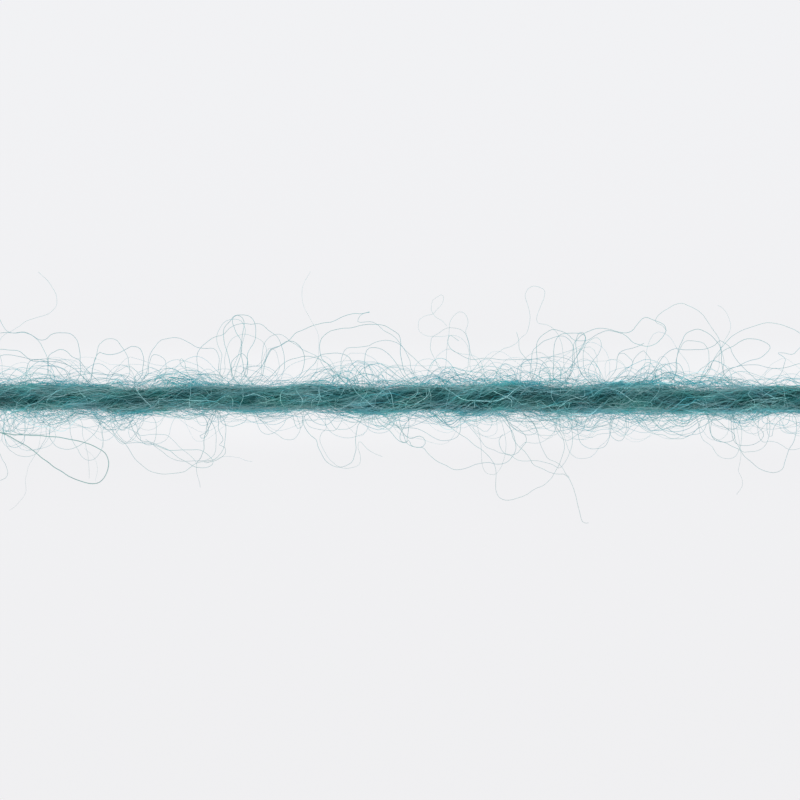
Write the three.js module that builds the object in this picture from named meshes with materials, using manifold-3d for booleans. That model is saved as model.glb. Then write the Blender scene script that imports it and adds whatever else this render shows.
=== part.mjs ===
// A cut length of three-ply wool knitting yarn that lies straight along X on a flat surface.
// Millimetres, +Z up. The origin is on the surface, under the middle of the yarn.
import * as THREE from "three";
import { mergeVertices } from "three/addons/utils/BufferGeometryUtils.js";
import Module from "manifold-3d";

const wasm = await Module();
wasm.setup();

// The yarn, which wraps about nine times to the inch.
const CUT_LENGTH = 80;
const PLY_COUNT = 3;
const PLY_RADIUS = 0.62;
const PLY_OFFSET = 0.72; // from the yarn's axis to a ply's axis
const PLY_GAP = 0.3;
const PRESSED_DEPTH = 0.1; // how far a ply is flattened where it bears on the surface
const PLY_SIDES = 14;
const PLY_STEPS = 76;
const CORNER_POWER = 6; // how sharply a ply's round outside meets its flanks against the other plies

// One row for each place where a ply stands out on the +Y side: its place along the yarn,
// the yarn's relative girth there, and its girth halfway to the next row.
const LAY = [
  { crest: -50.6, girth: 0.97, after: 0.96 },
  { crest: -40.4, girth: 0.95, after: 0.93 },
  { crest: -29.4, girth: 0.92, after: 0.97 },
  { crest: -19.3, girth: 0.94, after: 0.93 },
  { crest: -7.8, girth: 0.99, after: 1.06 },
  { crest: 2.8, girth: 1.0, after: 1.07 },
  { crest: 10.3, girth: 1.1, after: 1.05 },
  { crest: 21.3, girth: 1.09, after: 1.04 },
  { crest: 34.0, girth: 1.02, after: 1.0 },
  { crest: 44.8, girth: 1.0, after: 1.0 },
  { crest: 56.0, girth: 1.0, after: 1.0 },
];

// The loose fibres: a thin root strand lies in each groove between two plies and carries them.
const ROOT_RADIUS = 0.07;
const ROOT_SIDES = 4;
const ROOT_STEPS = 40;
const FIBRE_RADIUS = 0.06;
const FIBRE_SIDES = 3;
const FIBRE_BENDS = 8;
const FIBRE_STEPS = 12;
const EXIT_RISE = 0.65; // how far a fibre runs straight out of its groove
const TUCK = 1.9; // distance from the axis at which an arched fibre comes back to the yarn
const SURFACE_CLEARANCE = 0.12;
const ARCH_FULLNESS = 0.8; // under 1 rounds the head of an arch
const LOWEST_GROOVE = THREE.MathUtils.degToRad(-25); // lowest bearing at which a fibre can leave sideways

// The long stray fibres. side: which way it stands, +Y or -Y. root: where it leaves the yarn. span: from
// its root to its far end. lean: how far its middle swings along the yarn. belly: how far its head spreads.
// reach: from the yarn's axis to its outermost point. height: its level over the surface. tail: whether
// its far end stands free at its full reach, or comes back to the yarn.
const STRAYS = [
  { side: 1, root: -38.6, span: 5.0, lean: -0.5, belly: 0.6, reach: 6.2, height: 1.6 },
  { side: 1, root: -38.2, span: 5.0, lean: 4.6, belly: 0, reach: 11.5, height: 2.0, tail: true },
  { side: 1, root: -31.6, span: 2.2, lean: 0.2, belly: 0.3, reach: 4.2, height: 3.1 },
  { side: 1, root: -27.9, span: 2.6, lean: 0, belly: 0.5, reach: 5.5, height: 2.2 },
  { side: 1, root: -25.4, span: 2.0, lean: 0.2, belly: 0.3, reach: 4.8, height: 1.2 },
  { side: 1, root: -23.0, span: 5.6, lean: 0, belly: 0.2, reach: 5.5, height: 0.8 },
  { side: 1, root: -18.6, span: 2.4, lean: -0.3, belly: 0.4, reach: 4.4, height: 3.4 },
  { side: 1, root: -16.0, span: 3.0, lean: 0, belly: 0.7, reach: 7.6, height: 2.6 },
  { side: 1, root: -15.2, span: 1.2, lean: 0, belly: 0.5, reach: 6.2, height: 1.4 },
  { side: 1, root: -13.4, span: 10.4, lean: -1.0, belly: 0, reach: 7.8, height: 1.2, tail: true },
  { side: 1, root: -12.4, span: 4.0, lean: 0.1, belly: 0.3, reach: 5.8, height: 3.0 },
  { side: 1, root: -9.2, span: 1.5, lean: -0.5, belly: 0, reach: 11.6, height: 3.6, tail: true },
  { side: 1, root: -7.4, span: 7.6, lean: 0, belly: 0.5, reach: 6.7, height: 1.0 },
  { side: 1, root: -5.0, span: 3.0, lean: 0.4, belly: 0.4, reach: 4.6, height: 4.2 },
  { side: 1, root: 1.2, span: 2.2, lean: 0.6, belly: 0, reach: 9.4, height: 2.8, tail: true },
  { side: 1, root: 1.8, span: 2.0, lean: -0.2, belly: 0.4, reach: 7.0, height: 3.4 },
  { side: 1, root: 2.9, span: 3.4, lean: 0, belly: 0.6, reach: 7.9, height: 1.8 },
  { side: 1, root: 7.6, span: 2.6, lean: 0, belly: 0.4, reach: 4.4, height: 1.2 },
  { side: 1, root: 11.6, span: 1.2, lean: 0, belly: 0.5, reach: 10.2, height: 2.4 },
  { side: 1, root: 12.6, span: 4.0, lean: 0, belly: 0.8, reach: 6.2, height: 0.9 },
  { side: 1, root: 14.4, span: 3.2, lean: 0.3, belly: 0.6, reach: 5.6, height: 3.5 },
  { side: 1, root: 20.2, span: 3.0, lean: 1.2, belly: 0.3, reach: 7.3, height: 1.5 },
  { side: 1, root: 23.6, span: 6.0, lean: 0.2, belly: 0.2, reach: 8.5, height: 2.0 },
  { side: 1, root: 25.6, span: 3.8, lean: 0, belly: 0.3, reach: 6.2, height: 3.2 },
  { side: 1, root: 28.6, span: 3.5, lean: 2.6, belly: 0.2, reach: 5.0, height: 1.2 },
  { side: 1, root: 30.4, span: 8.4, lean: 1.0, belly: 0, reach: 6.8, height: 2.3 },
  { side: -1, root: -39.3, span: 1.2, lean: 12.0, belly: -1.2, reach: 8.0, height: 1.2 },
  { side: -1, root: -35.2, span: 2.8, lean: 0.3, belly: 0.3, reach: 4.2, height: 3.0 },
  { side: -1, root: -30.8, span: 2.3, lean: 0, belly: 0.3, reach: 4.8, height: 2.6 },
  { side: -1, root: -24.6, span: 6.4, lean: 0.4, belly: 0.4, reach: 7.0, height: 1.2 },
  { side: -1, root: -18.0, span: -0.5, lean: 0.6, belly: 0, reach: 8.0, height: 2.2, tail: true },
  { side: -1, root: -13.2, span: 3.4, lean: 0, belly: 0.4, reach: 4.4, height: 1.6 },
  { side: -1, root: -8.2, span: 4.2, lean: 0.2, belly: 0.2, reach: 6.4, height: 1.8 },
  { side: -1, root: -0.4, span: 2.0, lean: 0.3, belly: 0.3, reach: 4.6, height: 3.2 },
  { side: -1, root: 2.2, span: 7.4, lean: 0, belly: 0.2, reach: 6.5, height: 1.0 },
  { side: -1, root: 7.8, span: 6.4, lean: 0.2, belly: 0.6, reach: 9.4, height: 2.2 },
  { side: -1, root: 9.8, span: 7.4, lean: 1.4, belly: 0, reach: 11.6, height: 1.4, tail: true },
  { side: -1, root: 16.4, span: 2.9, lean: 0, belly: 0.2, reach: 4.6, height: 3.0 },
  { side: -1, root: 22.2, span: 5.4, lean: 0, belly: 0.1, reach: 4.0, height: 1.6 },
  { side: -1, root: 27.4, span: 2.6, lean: 0.2, belly: 0.3, reach: 4.6, height: 2.8 },
  { side: -1, root: 31.0, span: 5.2, lean: 0.8, belly: 0.3, reach: 6.8, height: 1.2 },
  { side: -1, root: 31.9, span: -0.4, lean: -0.5, belly: 0, reach: 8.8, height: 2.6, tail: true },
];

// The short loops that stand out of the grooves all round, apart from the side that bears on the surface.
const LOOPS_PER_GROOVE = 16;
const LOOP_ENDS_MARGIN = 2;
const LOOP_STEPS = 8;
const LOOP_RISE = { least: 0.9, most: 2.2 };
const LOOP_SPAN = { least: 1.6, most: 3.6 };
const LOOP_LOWEST = THREE.MathUtils.degToRad(-35);
const GOLDEN_SHARE = 0.618;

const THIRD_TURN = (2 * Math.PI) / PLY_COUNT;

// A smooth curve through the points (places[i], values[i]), with each slope taken from the neighbours.
function interpolate(places, values, x) {
  const last = places.length - 3;
  const after = places.findIndex((place) => place > x);
  const i = after < 0 ? last : THREE.MathUtils.clamp(after - 1, 1, last);
  const slope = (k) => (values[k + 1] - values[k - 1]) / (places[k + 1] - places[k - 1]);
  const width = places[i + 1] - places[i];
  const t = (x - places[i]) / width;
  const eased = t * t * (3 - 2 * t);
  const start = t * (1 - t) * (1 - t) * width * slope(i);
  const end = t * t * (t - 1) * width * slope(i + 1);
  return values[i] + (values[i + 1] - values[i]) * eased + start + end;
}

const crests = LAY.map((row) => row.crest);
const crestCounts = LAY.map((row, i) => i);
const girthPlaces = LAY.slice(1).flatMap((row, i) => [LAY[i].crest, (LAY[i].crest + row.crest) / 2]);
const girthValues = LAY.slice(1).flatMap((row, i) => [LAY[i].girth, LAY[i].after]);

const girth = (x) => interpolate(girthPlaces, girthValues, x);
const axisHeight = (x) => (PLY_OFFSET + PLY_RADIUS) * girth(x) - PRESSED_DEPTH;

// The bearing of a ply, or of a groove at a half number, from +Y towards +Z. It falls along +X, so the
// twist is left-handed.
const bearing = (x, third) => (third - interpolate(crests, crestCounts, x)) * THIRD_TURN;

// A point at a distance out from the yarn's axis at a bearing, and a distance across that.
function around(x, angle, out, across = 0) {
  const y = out * Math.cos(angle) - across * Math.sin(angle);
  const z = axisHeight(x) + out * Math.sin(angle) + across * Math.cos(angle);
  return new THREE.Vector3(x, y, z);
}

// The distance from a ply's axis to its skin: round outside, flattened where it faces its neighbours.
function plySkin(theta, x) {
  const halfSector = THIRD_TURN / 2;
  const toFlank = PLY_OFFSET * girth(x) * Math.sin(halfSector) - PLY_GAP / 2;
  const flank = Math.max(0, Math.sin(Math.abs(theta) - halfSector)) / toFlank;
  const round = 1 / (PLY_RADIUS * girth(x));
  return (round ** CORNER_POWER + flank ** CORNER_POWER) ** (-1 / CORNER_POWER);
}

// How far out a root strand lies in its groove, clear of the plies on both sides by the gap.
function grooveRadius(x) {
  const offset = PLY_OFFSET * girth(x);
  const clear = PLY_RADIUS * girth(x) + PLY_GAP + ROOT_RADIUS;
  return offset / 2 + Math.sqrt(clear ** 2 - 0.75 * offset ** 2);
}

function polygon(sides, radius = 1) {
  const corner = (i) => (2 * Math.PI * i) / sides;
  const points = Array.from({ length: sides }, (_, i) => [Math.cos(corner(i)), Math.sin(corner(i))]);
  return new THREE.Shape(points.map(([u, v]) => new THREE.Vector2(u * radius, v * radius)));
}

// A straight prism as long as the yarn, with each of its points moved to where place(x, theta) puts it.
function woundPrism(sides, steps, place) {
  const options = { depth: CUT_LENGTH, steps, bevelEnabled: false };
  const geometry = new THREE.ExtrudeGeometry(polygon(sides), options);
  const position = geometry.getAttribute("position");
  for (let i = 0; i < position.count; i++) {
    const theta = Math.atan2(position.getY(i), position.getX(i));
    const point = place(position.getZ(i) - CUT_LENGTH / 2, theta);
    position.setXYZ(i, point.x, point.y, point.z);
  }
  return geometry;
}

function toSolid(geometry) {
  const bare = geometry.clone();
  bare.deleteAttribute("normal");
  bare.deleteAttribute("uv");
  const merged = mergeVertices(bare, 1e-5);
  const vertProperties = merged.getAttribute("position").array;
  const triVerts = new Uint32Array(merged.index.array);
  return new wasm.Manifold(new wasm.Mesh({ numProp: 3, vertProperties, triVerts }));
}

function toGeometry(solid) {
  const { vertProperties, triVerts } = solid.getMesh();
  const geometry = new THREE.BufferGeometry();
  geometry.setAttribute("position", new THREE.BufferAttribute(new Float32Array(vertProperties), 3));
  geometry.setIndex(new THREE.BufferAttribute(triVerts, 1));
  geometry.computeVertexNormals();
  return geometry;
}

// One ply, wound about the yarn's axis and cut flat where it bears on the surface.
function plySolid(index) {
  const geometry = woundPrism(PLY_SIDES, PLY_STEPS, (x, theta) => {
    const skin = plySkin(theta, x);
    const out = PLY_OFFSET * girth(x) + skin * Math.cos(theta);
    return around(x, bearing(x, index), out, skin * Math.sin(theta));
  });
  const room = new THREE.BoxGeometry(2 * CUT_LENGTH, CUT_LENGTH, CUT_LENGTH);
  room.translate(0, 0, CUT_LENGTH / 2);
  return toSolid(geometry).intersect(toSolid(room));
}

function rootSolid(groove) {
  return toSolid(
    woundPrism(ROOT_SIDES, ROOT_STEPS, (x, theta) => {
      const out = grooveRadius(x) + ROOT_RADIUS * Math.cos(theta);
      const point = around(x, bearing(x, groove), out, ROOT_RADIUS * Math.sin(theta));
      point.z = Math.max(point.z, ROOT_RADIUS / 2);
      return point;
    }),
  );
}

function fibreSolid(points, steps) {
  const extrudePath = new THREE.CatmullRomCurve3(points, false, "centripetal");
  const options = { steps, extrudePath, bevelEnabled: false };
  return toSolid(new THREE.ExtrudeGeometry(polygon(FIBRE_SIDES, FIBRE_RADIUS), options));
}

// The bearing of a groove as seen from the side that a fibre stands on, between -180 and 180 degrees.
function sideBearing(x, groove, side) {
  const angle = bearing(x, groove);
  return Math.atan2(Math.sin(angle), side * Math.cos(angle));
}

// Where a fibre leaves the yarn: the middle of its root strand, then straight out of the groove.
function rootPoints(x, groove) {
  const angle = bearing(x, groove);
  return [around(x, angle, grooveRadius(x)), around(x, angle, grooveRadius(x) + EXIT_RISE)];
}

function strayPoints(row, groove) {
  const [root, exit] = rootPoints(row.root, groove);
  const points = [root, exit];
  for (let i = 1; i <= FIBRE_BENDS; i++) {
    const t = i / FIBRE_BENDS;
    const swing = Math.sin(Math.PI * t);
    const rise = (row.tail ? t : Math.max(swing, 0)) ** ARCH_FULLNESS;
    const x = row.root + row.span * t + row.lean * swing - row.belly * Math.sin(2 * Math.PI * t);
    const y = row.side * (TUCK + (row.reach - TUCK) * rise);
    const z = THREE.MathUtils.lerp(exit.z, row.height, Math.sqrt(t));
    points.push(new THREE.Vector3(x, y, Math.max(z, SURFACE_CLEARANCE)));
  }
  return points;
}

// The stray fibres that leave the yarn by this groove: each takes the one that faces its side.
function straysOf(groove) {
  const leavesHere = (row) => {
    const angle = sideBearing(row.root, groove, row.side);
    return angle >= LOWEST_GROOVE && angle < LOWEST_GROOVE + THIRD_TURN;
  };
  return STRAYS.filter(leavesHere).map((row) => fibreSolid(strayPoints(row, groove), FIBRE_STEPS));
}

// A short loop that stands straight out of its groove and comes back to the yarn further along.
function loopPoints(x, groove, rise, span) {
  const [root, exit] = rootPoints(x, groove);
  const angle = bearing(x, groove);
  const shares = [0.3, 0.6, 0.85, 1];
  const arc = shares.map((t) => {
    const out = TUCK + rise * Math.sin(Math.PI * t) ** ARCH_FULLNESS;
    const point = around(x, angle, out);
    return new THREE.Vector3(x + span * t, point.y, Math.max(point.z, SURFACE_CLEARANCE));
  });
  return [root, exit, ...arc];
}

function loopsOf(groove) {
  const solids = [];
  const run = CUT_LENGTH - 2 * LOOP_ENDS_MARGIN - LOOP_SPAN.most;
  for (let i = 0; i < LOOPS_PER_GROOVE; i++) {
    const chance = ((i + 1) * GOLDEN_SHARE + groove / PLY_COUNT) % 1;
    const x = LOOP_ENDS_MARGIN - CUT_LENGTH / 2 + (run * (i + chance)) / LOOPS_PER_GROOVE;
    const rise = THREE.MathUtils.lerp(LOOP_RISE.least, LOOP_RISE.most, chance);
    const span = THREE.MathUtils.lerp(LOOP_SPAN.most, LOOP_SPAN.least, (chance * PLY_COUNT) % 1);
    const angle = bearing(x, groove);
    if (Math.sin(angle) > Math.sin(LOOP_LOWEST)) {
      solids.push(fibreSolid(loopPoints(x, groove, rise, span), LOOP_STEPS));
    }
  }
  return solids;
}

function fibresSolid(groove) {
  return [...straysOf(groove), ...loopsOf(groove)].reduce((whole, fibre) => whole.add(fibre), rootSolid(groove));
}

const wool = new THREE.MeshStandardMaterial({ color: 0x42787c, roughness: 0.95, metalness: 0 });
const looseWool = new THREE.MeshStandardMaterial({ color: 0x6fa3a9, roughness: 0.9, metalness: 0 });

function piece(name, solid, material) {
  const mesh = new THREE.Mesh(toGeometry(solid), material);
  mesh.name = name;
  return mesh;
}

const yarn = new THREE.Group();
for (let i = 0; i < PLY_COUNT; i++) {
  yarn.add(piece(`ply_${i + 1}`, plySolid(i), wool));
  yarn.add(piece(`loose_fibres_${i + 1}`, fibresSolid(i + 0.5), looseWool));
}

export default yarn;
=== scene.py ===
"""A cut length of fuzzy plied wool knitting yarn that lies straight on a plain pale surface.

Three plies are wound round each other. Each is a bundle of fibres over a close-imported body, and loose
fibres stand out of the yarn as close fuzz, as curls and as long strays. Geometry Nodes trees grow all of
them from one lay, which says how the yarn turns and how thick it is along its length. Lengths are metres.
"""

import logging
import math
from collections.abc import Callable
from dataclasses import dataclass
from enum import Enum

import bpy
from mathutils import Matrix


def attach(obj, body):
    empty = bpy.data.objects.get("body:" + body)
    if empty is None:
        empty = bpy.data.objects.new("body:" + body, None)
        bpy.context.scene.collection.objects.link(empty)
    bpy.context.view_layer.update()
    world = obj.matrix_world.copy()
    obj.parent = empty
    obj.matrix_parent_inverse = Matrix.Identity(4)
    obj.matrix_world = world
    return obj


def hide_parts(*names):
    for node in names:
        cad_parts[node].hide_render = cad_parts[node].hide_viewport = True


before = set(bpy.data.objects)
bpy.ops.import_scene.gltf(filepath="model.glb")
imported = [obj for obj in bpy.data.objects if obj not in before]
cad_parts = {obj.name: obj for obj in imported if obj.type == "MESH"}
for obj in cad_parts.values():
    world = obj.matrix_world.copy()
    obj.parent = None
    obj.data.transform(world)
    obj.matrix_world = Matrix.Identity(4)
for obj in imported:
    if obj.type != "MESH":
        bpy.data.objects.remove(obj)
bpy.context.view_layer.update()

LOG = logging.getLogger("yarn")
BODY = "root"
MM = 0.001
TURN = 2 * math.pi
PLIES = 3
THIRD = TURN / PLIES
PIXEL = 0.092 * MM
FRAME_PIXELS = 800
CRIMPS = 900.0  # how many swings the wool's crimp takes in a metre
FLOOR = 0.03 * MM  # the least height of a loose fibre's middle over the surface
NOISE_GAIN = 3.2  # what carries noise round its middle value to about -1 to 1


class Finish(Enum):
    """The record's material slots."""

    WOOL = "wool"
    LOOSE_WOOL = "loose_wool"


class Field:
    """A number that a node tree works out for each point. Python's signs on it add Math nodes."""

    def __init__(self, tree: "Nodes", socket: bpy.types.NodeSocket) -> None:
        """Wraps a socket of a tree.

        Args:
            tree: The tree that the socket is in.
            socket: The output socket that carries the number.
        """
        self.tree = tree
        self.socket = socket

    def __add__(self, other: "Number") -> "Field":
        """Returns the sum."""
        return self.tree.math("ADD", self, other)

    def __radd__(self, other: "Number") -> "Field":
        """Returns the sum."""
        return self.tree.math("ADD", other, self)

    def __sub__(self, other: "Number") -> "Field":
        """Returns the difference."""
        return self.tree.math("SUBTRACT", self, other)

    def __rsub__(self, other: "Number") -> "Field":
        """Returns the difference."""
        return self.tree.math("SUBTRACT", other, self)

    def __mul__(self, other: "Number") -> "Field":
        """Returns the product."""
        return self.tree.math("MULTIPLY", self, other)

    def __rmul__(self, other: "Number") -> "Field":
        """Returns the product."""
        return self.tree.math("MULTIPLY", other, self)

    def __truediv__(self, other: "Number") -> "Field":
        """Returns the quotient."""
        return self.tree.math("DIVIDE", self, other)

    def __rtruediv__(self, other: "Number") -> "Field":
        """Returns the quotient."""
        return self.tree.math("DIVIDE", other, self)

    def __pow__(self, other: "Number") -> "Field":
        """Returns the power."""
        return self.tree.math("POWER", self, other)


Number = float | Field


class Nodes:
    """A node tree under construction, of a material or of geometry."""

    def __init__(self, group: bpy.types.NodeTree) -> None:
        """Wraps a node tree."""
        self.group = group

    def node(self, kind: str, inputs: dict[str, object] | None = None, **settings: object) -> bpy.types.Node:
        """Adds a node.

        Args:
            kind: The node's Blender type.
            inputs: What its inputs are fed, by their names.
            **settings: Values for its properties.

        Returns:
            The node.
        """
        made = self.group.nodes.new(kind)
        for key, value in settings.items():
            setattr(made, key, value)
        for name, value in (inputs or {}).items():
            self.feed(made.inputs[name], value)
        return made

    def out(self, kind: str, inputs: dict[str, object] | None = None, **settings: object) -> object:
        """Adds a node in the same way, and returns its first output."""
        return self.node(kind, inputs, **settings).outputs[0]

    def feed(self, socket: bpy.types.NodeSocket, value: object) -> None:
        """Links a field or a socket to an input, or sets the input to a plain value.

        Args:
            socket: The input socket.
            value: A field, an output socket or a plain value.
        """
        if isinstance(value, Field):
            value = value.socket
        if isinstance(value, bpy.types.NodeSocket):
            self.group.links.new(value, socket)
        else:
            socket.default_value = value

    def math(self, operation: str, *values: Number) -> Field:
        """Adds a Math node.

        Args:
            operation: The node's operation.
            *values: Its inputs, in order.

        Returns:
            Its result.
        """
        made = self.node("ShaderNodeMath", operation=operation)
        for socket, value in zip(made.inputs, values):
            self.feed(socket, value)
        return Field(self, made.outputs[0])

    def sin(self, angle: Number) -> Field:
        """Returns the sine of an angle in radians."""
        return self.math("SINE", angle)

    def cos(self, angle: Number) -> Field:
        """Returns the cosine of an angle in radians."""
        return self.math("COSINE", angle)

    def size(self, value: Number) -> Field:
        """Returns a number without its sign."""
        return self.math("ABSOLUTE", value)

    def least(self, value: Number, limit: Number) -> Field:
        """Returns the value, raised to the limit where it is under it."""
        return self.math("MAXIMUM", value, limit)

    def most(self, value: Number, limit: Number) -> Field:
        """Returns the value, lowered to the limit where it is over it."""
        return self.math("MINIMUM", value, limit)

    def vector(self, x: Number, y: Number, z: Number = 0.0) -> Field:
        """Returns a vector made of three numbers."""
        return Field(self, self.out("ShaderNodeCombineXYZ", {"X": x, "Y": y, "Z": z}))

    def split(self, vector: object) -> list[Field]:
        """Returns a vector's three components."""
        made = self.node("ShaderNodeSeparateXYZ", {"Vector": vector})
        return [Field(self, socket) for socket in made.outputs]

    def noise(self, vector: object, detail: float) -> Field:
        """Returns noise from 0 to 1 at a point, with swings about 1 apart."""
        inputs = {"Vector": vector, "Scale": 1.0, "Detail": detail}
        return Field(self, self.out("ShaderNodeTexNoise", inputs))

    def mapped(
        self, value: Number, source: tuple[float, float], target: tuple[float, float], kind: str
    ) -> Field:
        """Carries a number from one range to another, and holds it in that one.

        Args:
            value: The number.
            source: The range it comes from.
            target: The range it goes to.
            kind: The Map Range node's interpolation.

        Returns:
            The number in its new range.
        """
        names = ("From Min", "From Max", "To Min", "To Max")
        inputs = {"Value": value, **dict(zip(names, (*source, *target)))}
        return Field(self, self.out("ShaderNodeMapRange", inputs, interpolation_type=kind))


class Tree(Nodes):
    """A Geometry Nodes tree under construction, with named inputs and one geometry output."""

    def __init__(self, name: str, seed: int, starts_with_geometry: bool = False) -> None:
        """Starts a tree.

        Args:
            name: The tree's name.
            seed: The default of its Seed input, which all its random numbers take.
            starts_with_geometry: Whether it works on the mesh that it is put on.
        """
        super().__init__(bpy.data.node_groups.new(name, "GeometryNodeTree"))
        if starts_with_geometry:
            sockets = self.group.interface
            sockets.new_socket(name="Geometry", in_out="INPUT", socket_type="NodeSocketGeometry")
        self.entry = self.group.nodes.new("NodeGroupInput")
        self.salt = 0
        self.seed = self.input("Seed", seed, "Int")

    def input(self, name: str, value: object, kind: str = "Float") -> Field:
        """Adds a named input.

        Args:
            name: The input's name.
            value: Its default, or None for an object or a material.
            kind: The last part of the socket's Blender type.

        Returns:
            The input as a field.
        """
        item = self.group.interface.new_socket(name=name, in_out="INPUT", socket_type=f"NodeSocket{kind}")
        if value is not None:
            item.default_value = value
        return Field(self, self.entry.outputs[name])

    def random(self, low: Number, high: Number, of: Field) -> Field:
        """Adds a random number that is the same wherever the whole number it goes by is the same.

        Args:
            low: The least value.
            high: The greatest value.
            of: The whole number that it goes by, such as a fibre's index.

        Returns:
            The random number.
        """
        self.salt += 1
        made = self.node("FunctionNodeRandomValue", data_type="FLOAT")
        sockets = {socket.identifier: socket for socket in made.inputs}
        self.feed(sockets["Min_001"], low)
        self.feed(sockets["Max_001"], high)
        self.feed(sockets["ID"], of)
        self.feed(sockets["Seed"], self.seed * 100 + self.salt)
        return Field(self, made.outputs[1])

    def spread(self, reach: float, of: Field) -> Field:
        """Adds a random number from minus the reach to the reach."""
        return self.random(-reach, reach, of)

    def ripple(self, vector: Field, detail: float) -> Field:
        """Returns noise from about -1 to 1 at a point."""
        return (self.noise(vector, detail) - 0.5) * NOISE_GAIN

    def wander(self, along: Number, of: Field, detail: float = 0.0) -> Field:
        """Adds smooth noise, from about -1 to 1, that differs for each whole number it goes by.

        Args:
            along: The place along the noise, where 1 is about one swing.
            of: The whole number that it goes by.
            detail: The noise's detail.

        Returns:
            The noise.
        """
        self.salt += 1
        return self.ripple(self.vector(along, of * 7.31, self.salt * 3.7), detail)

    def walk(self, step: Field, of: Field) -> tuple[list[Field], list[Field]]:
        """Adds up a fibre's steps.

        Args:
            step: The step from each point to the next, as a vector.
            of: The fibre's index.

        Returns:
            The three components of the way to each point, and those of the way to the fibre's end.
        """
        inputs = {"Value": step, "Group ID": of}
        made = self.node("GeometryNodeAccumulateField", inputs, data_type="FLOAT_VECTOR")
        return self.split(made.outputs["Trailing"]), self.split(made.outputs["Total"])

    def curve(self, share: Field, values: list[float]) -> Field:
        """Adds a Float Curve node through evenly spaced values.

        Args:
            share: Where to read the curve, from 0 to 1.
            values: The curve's values, the first at 0 and the last at 1.

        Returns:
            The curve's value there.
        """
        low, high = min(values), max(values)
        made = self.node("ShaderNodeFloatCurve", {"Value": share})
        line = made.mapping.curves[0]
        spots = [(i / (len(values) - 1), (value - low) / (high - low)) for i, value in enumerate(values)]
        line.points[0].location, line.points[-1].location = spots[0], spots[-1]
        for spot in spots[1:-1]:
            line.points.new(*spot)
        made.mapping.update()
        return Field(self, made.outputs[0]) * (high - low) + low

    def store(
        self, geometry: object, name: str, value: object, kind: str = "FLOAT", domain: str = "POINT"
    ) -> object:
        """Stores a field as a named attribute.

        Args:
            geometry: The geometry's socket.
            name: The attribute's name.
            value: The field.
            kind: The attribute's type.
            domain: What it is stored on.

        Returns:
            The new geometry's socket.
        """
        inputs = {"Geometry": geometry, "Name": name, "Value": value}
        return self.out("GeometryNodeStoreNamedAttribute", inputs, data_type=kind, domain=domain)

    def stored(self, name: str) -> Field:
        """Returns a named number attribute as a field."""
        return Field(self, self.out("GeometryNodeInputNamedAttribute", {"Name": name}, data_type="FLOAT"))

    def number_curves(self, curves: object) -> object:
        """Stores, on each point of curves, its share along its fibre and the fibre's index."""
        along = self.node("GeometryNodeSplineParameter").outputs["Factor"]
        fibre = self.node("GeometryNodeCurveOfPoint").outputs["Curve Index"]
        return self.store(self.store(curves, "along", along), "fibre", fibre)

    def finish(self, geometry: object) -> None:
        """Realizes the geometry, gives it the Material input and makes it the tree's output.

        Args:
            geometry: The geometry's socket.
        """
        realized = self.out("GeometryNodeRealizeInstances", {"Geometry": geometry})
        inputs = {"Geometry": realized, "Material": self.input("Material", None, "Material")}
        dressed = self.out("GeometryNodeSetMaterial", inputs)
        self.group.interface.new_socket(name="Geometry", in_out="OUTPUT", socket_type="NodeSocketGeometry")
        self.feed(self.node("NodeGroupOutput").inputs[0], dressed)

    def grow(self, name: str, start: bpy.types.Mesh | None = None, **values: object) -> bpy.types.Mesh:
        """Runs the tree once and returns its result as a plain mesh.

        Args:
            name: The mesh's name.
            start: The mesh that it works on, where it needs one.
            **values: Values for the named inputs, with underscores for spaces.

        Returns:
            The mesh.
        """
        holder = bpy.data.objects.new(name, start or bpy.data.meshes.new(name))
        bpy.context.scene.collection.objects.link(holder)
        modifier = holder.modifiers.new(name, "NODES")
        modifier.node_group = self.group
        for item in self.group.interface.items_tree:
            key = item.name.replace(" ", "_").lower()
            if item.in_out == "INPUT" and key in values:
                modifier[item.identifier] = values[key]
        evaluated = holder.evaluated_get(bpy.context.evaluated_depsgraph_get())
        mesh = bpy.data.meshes.new_from_object(evaluated)
        bpy.data.objects.remove(holder)
        mesh.name = name
        return mesh


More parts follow.
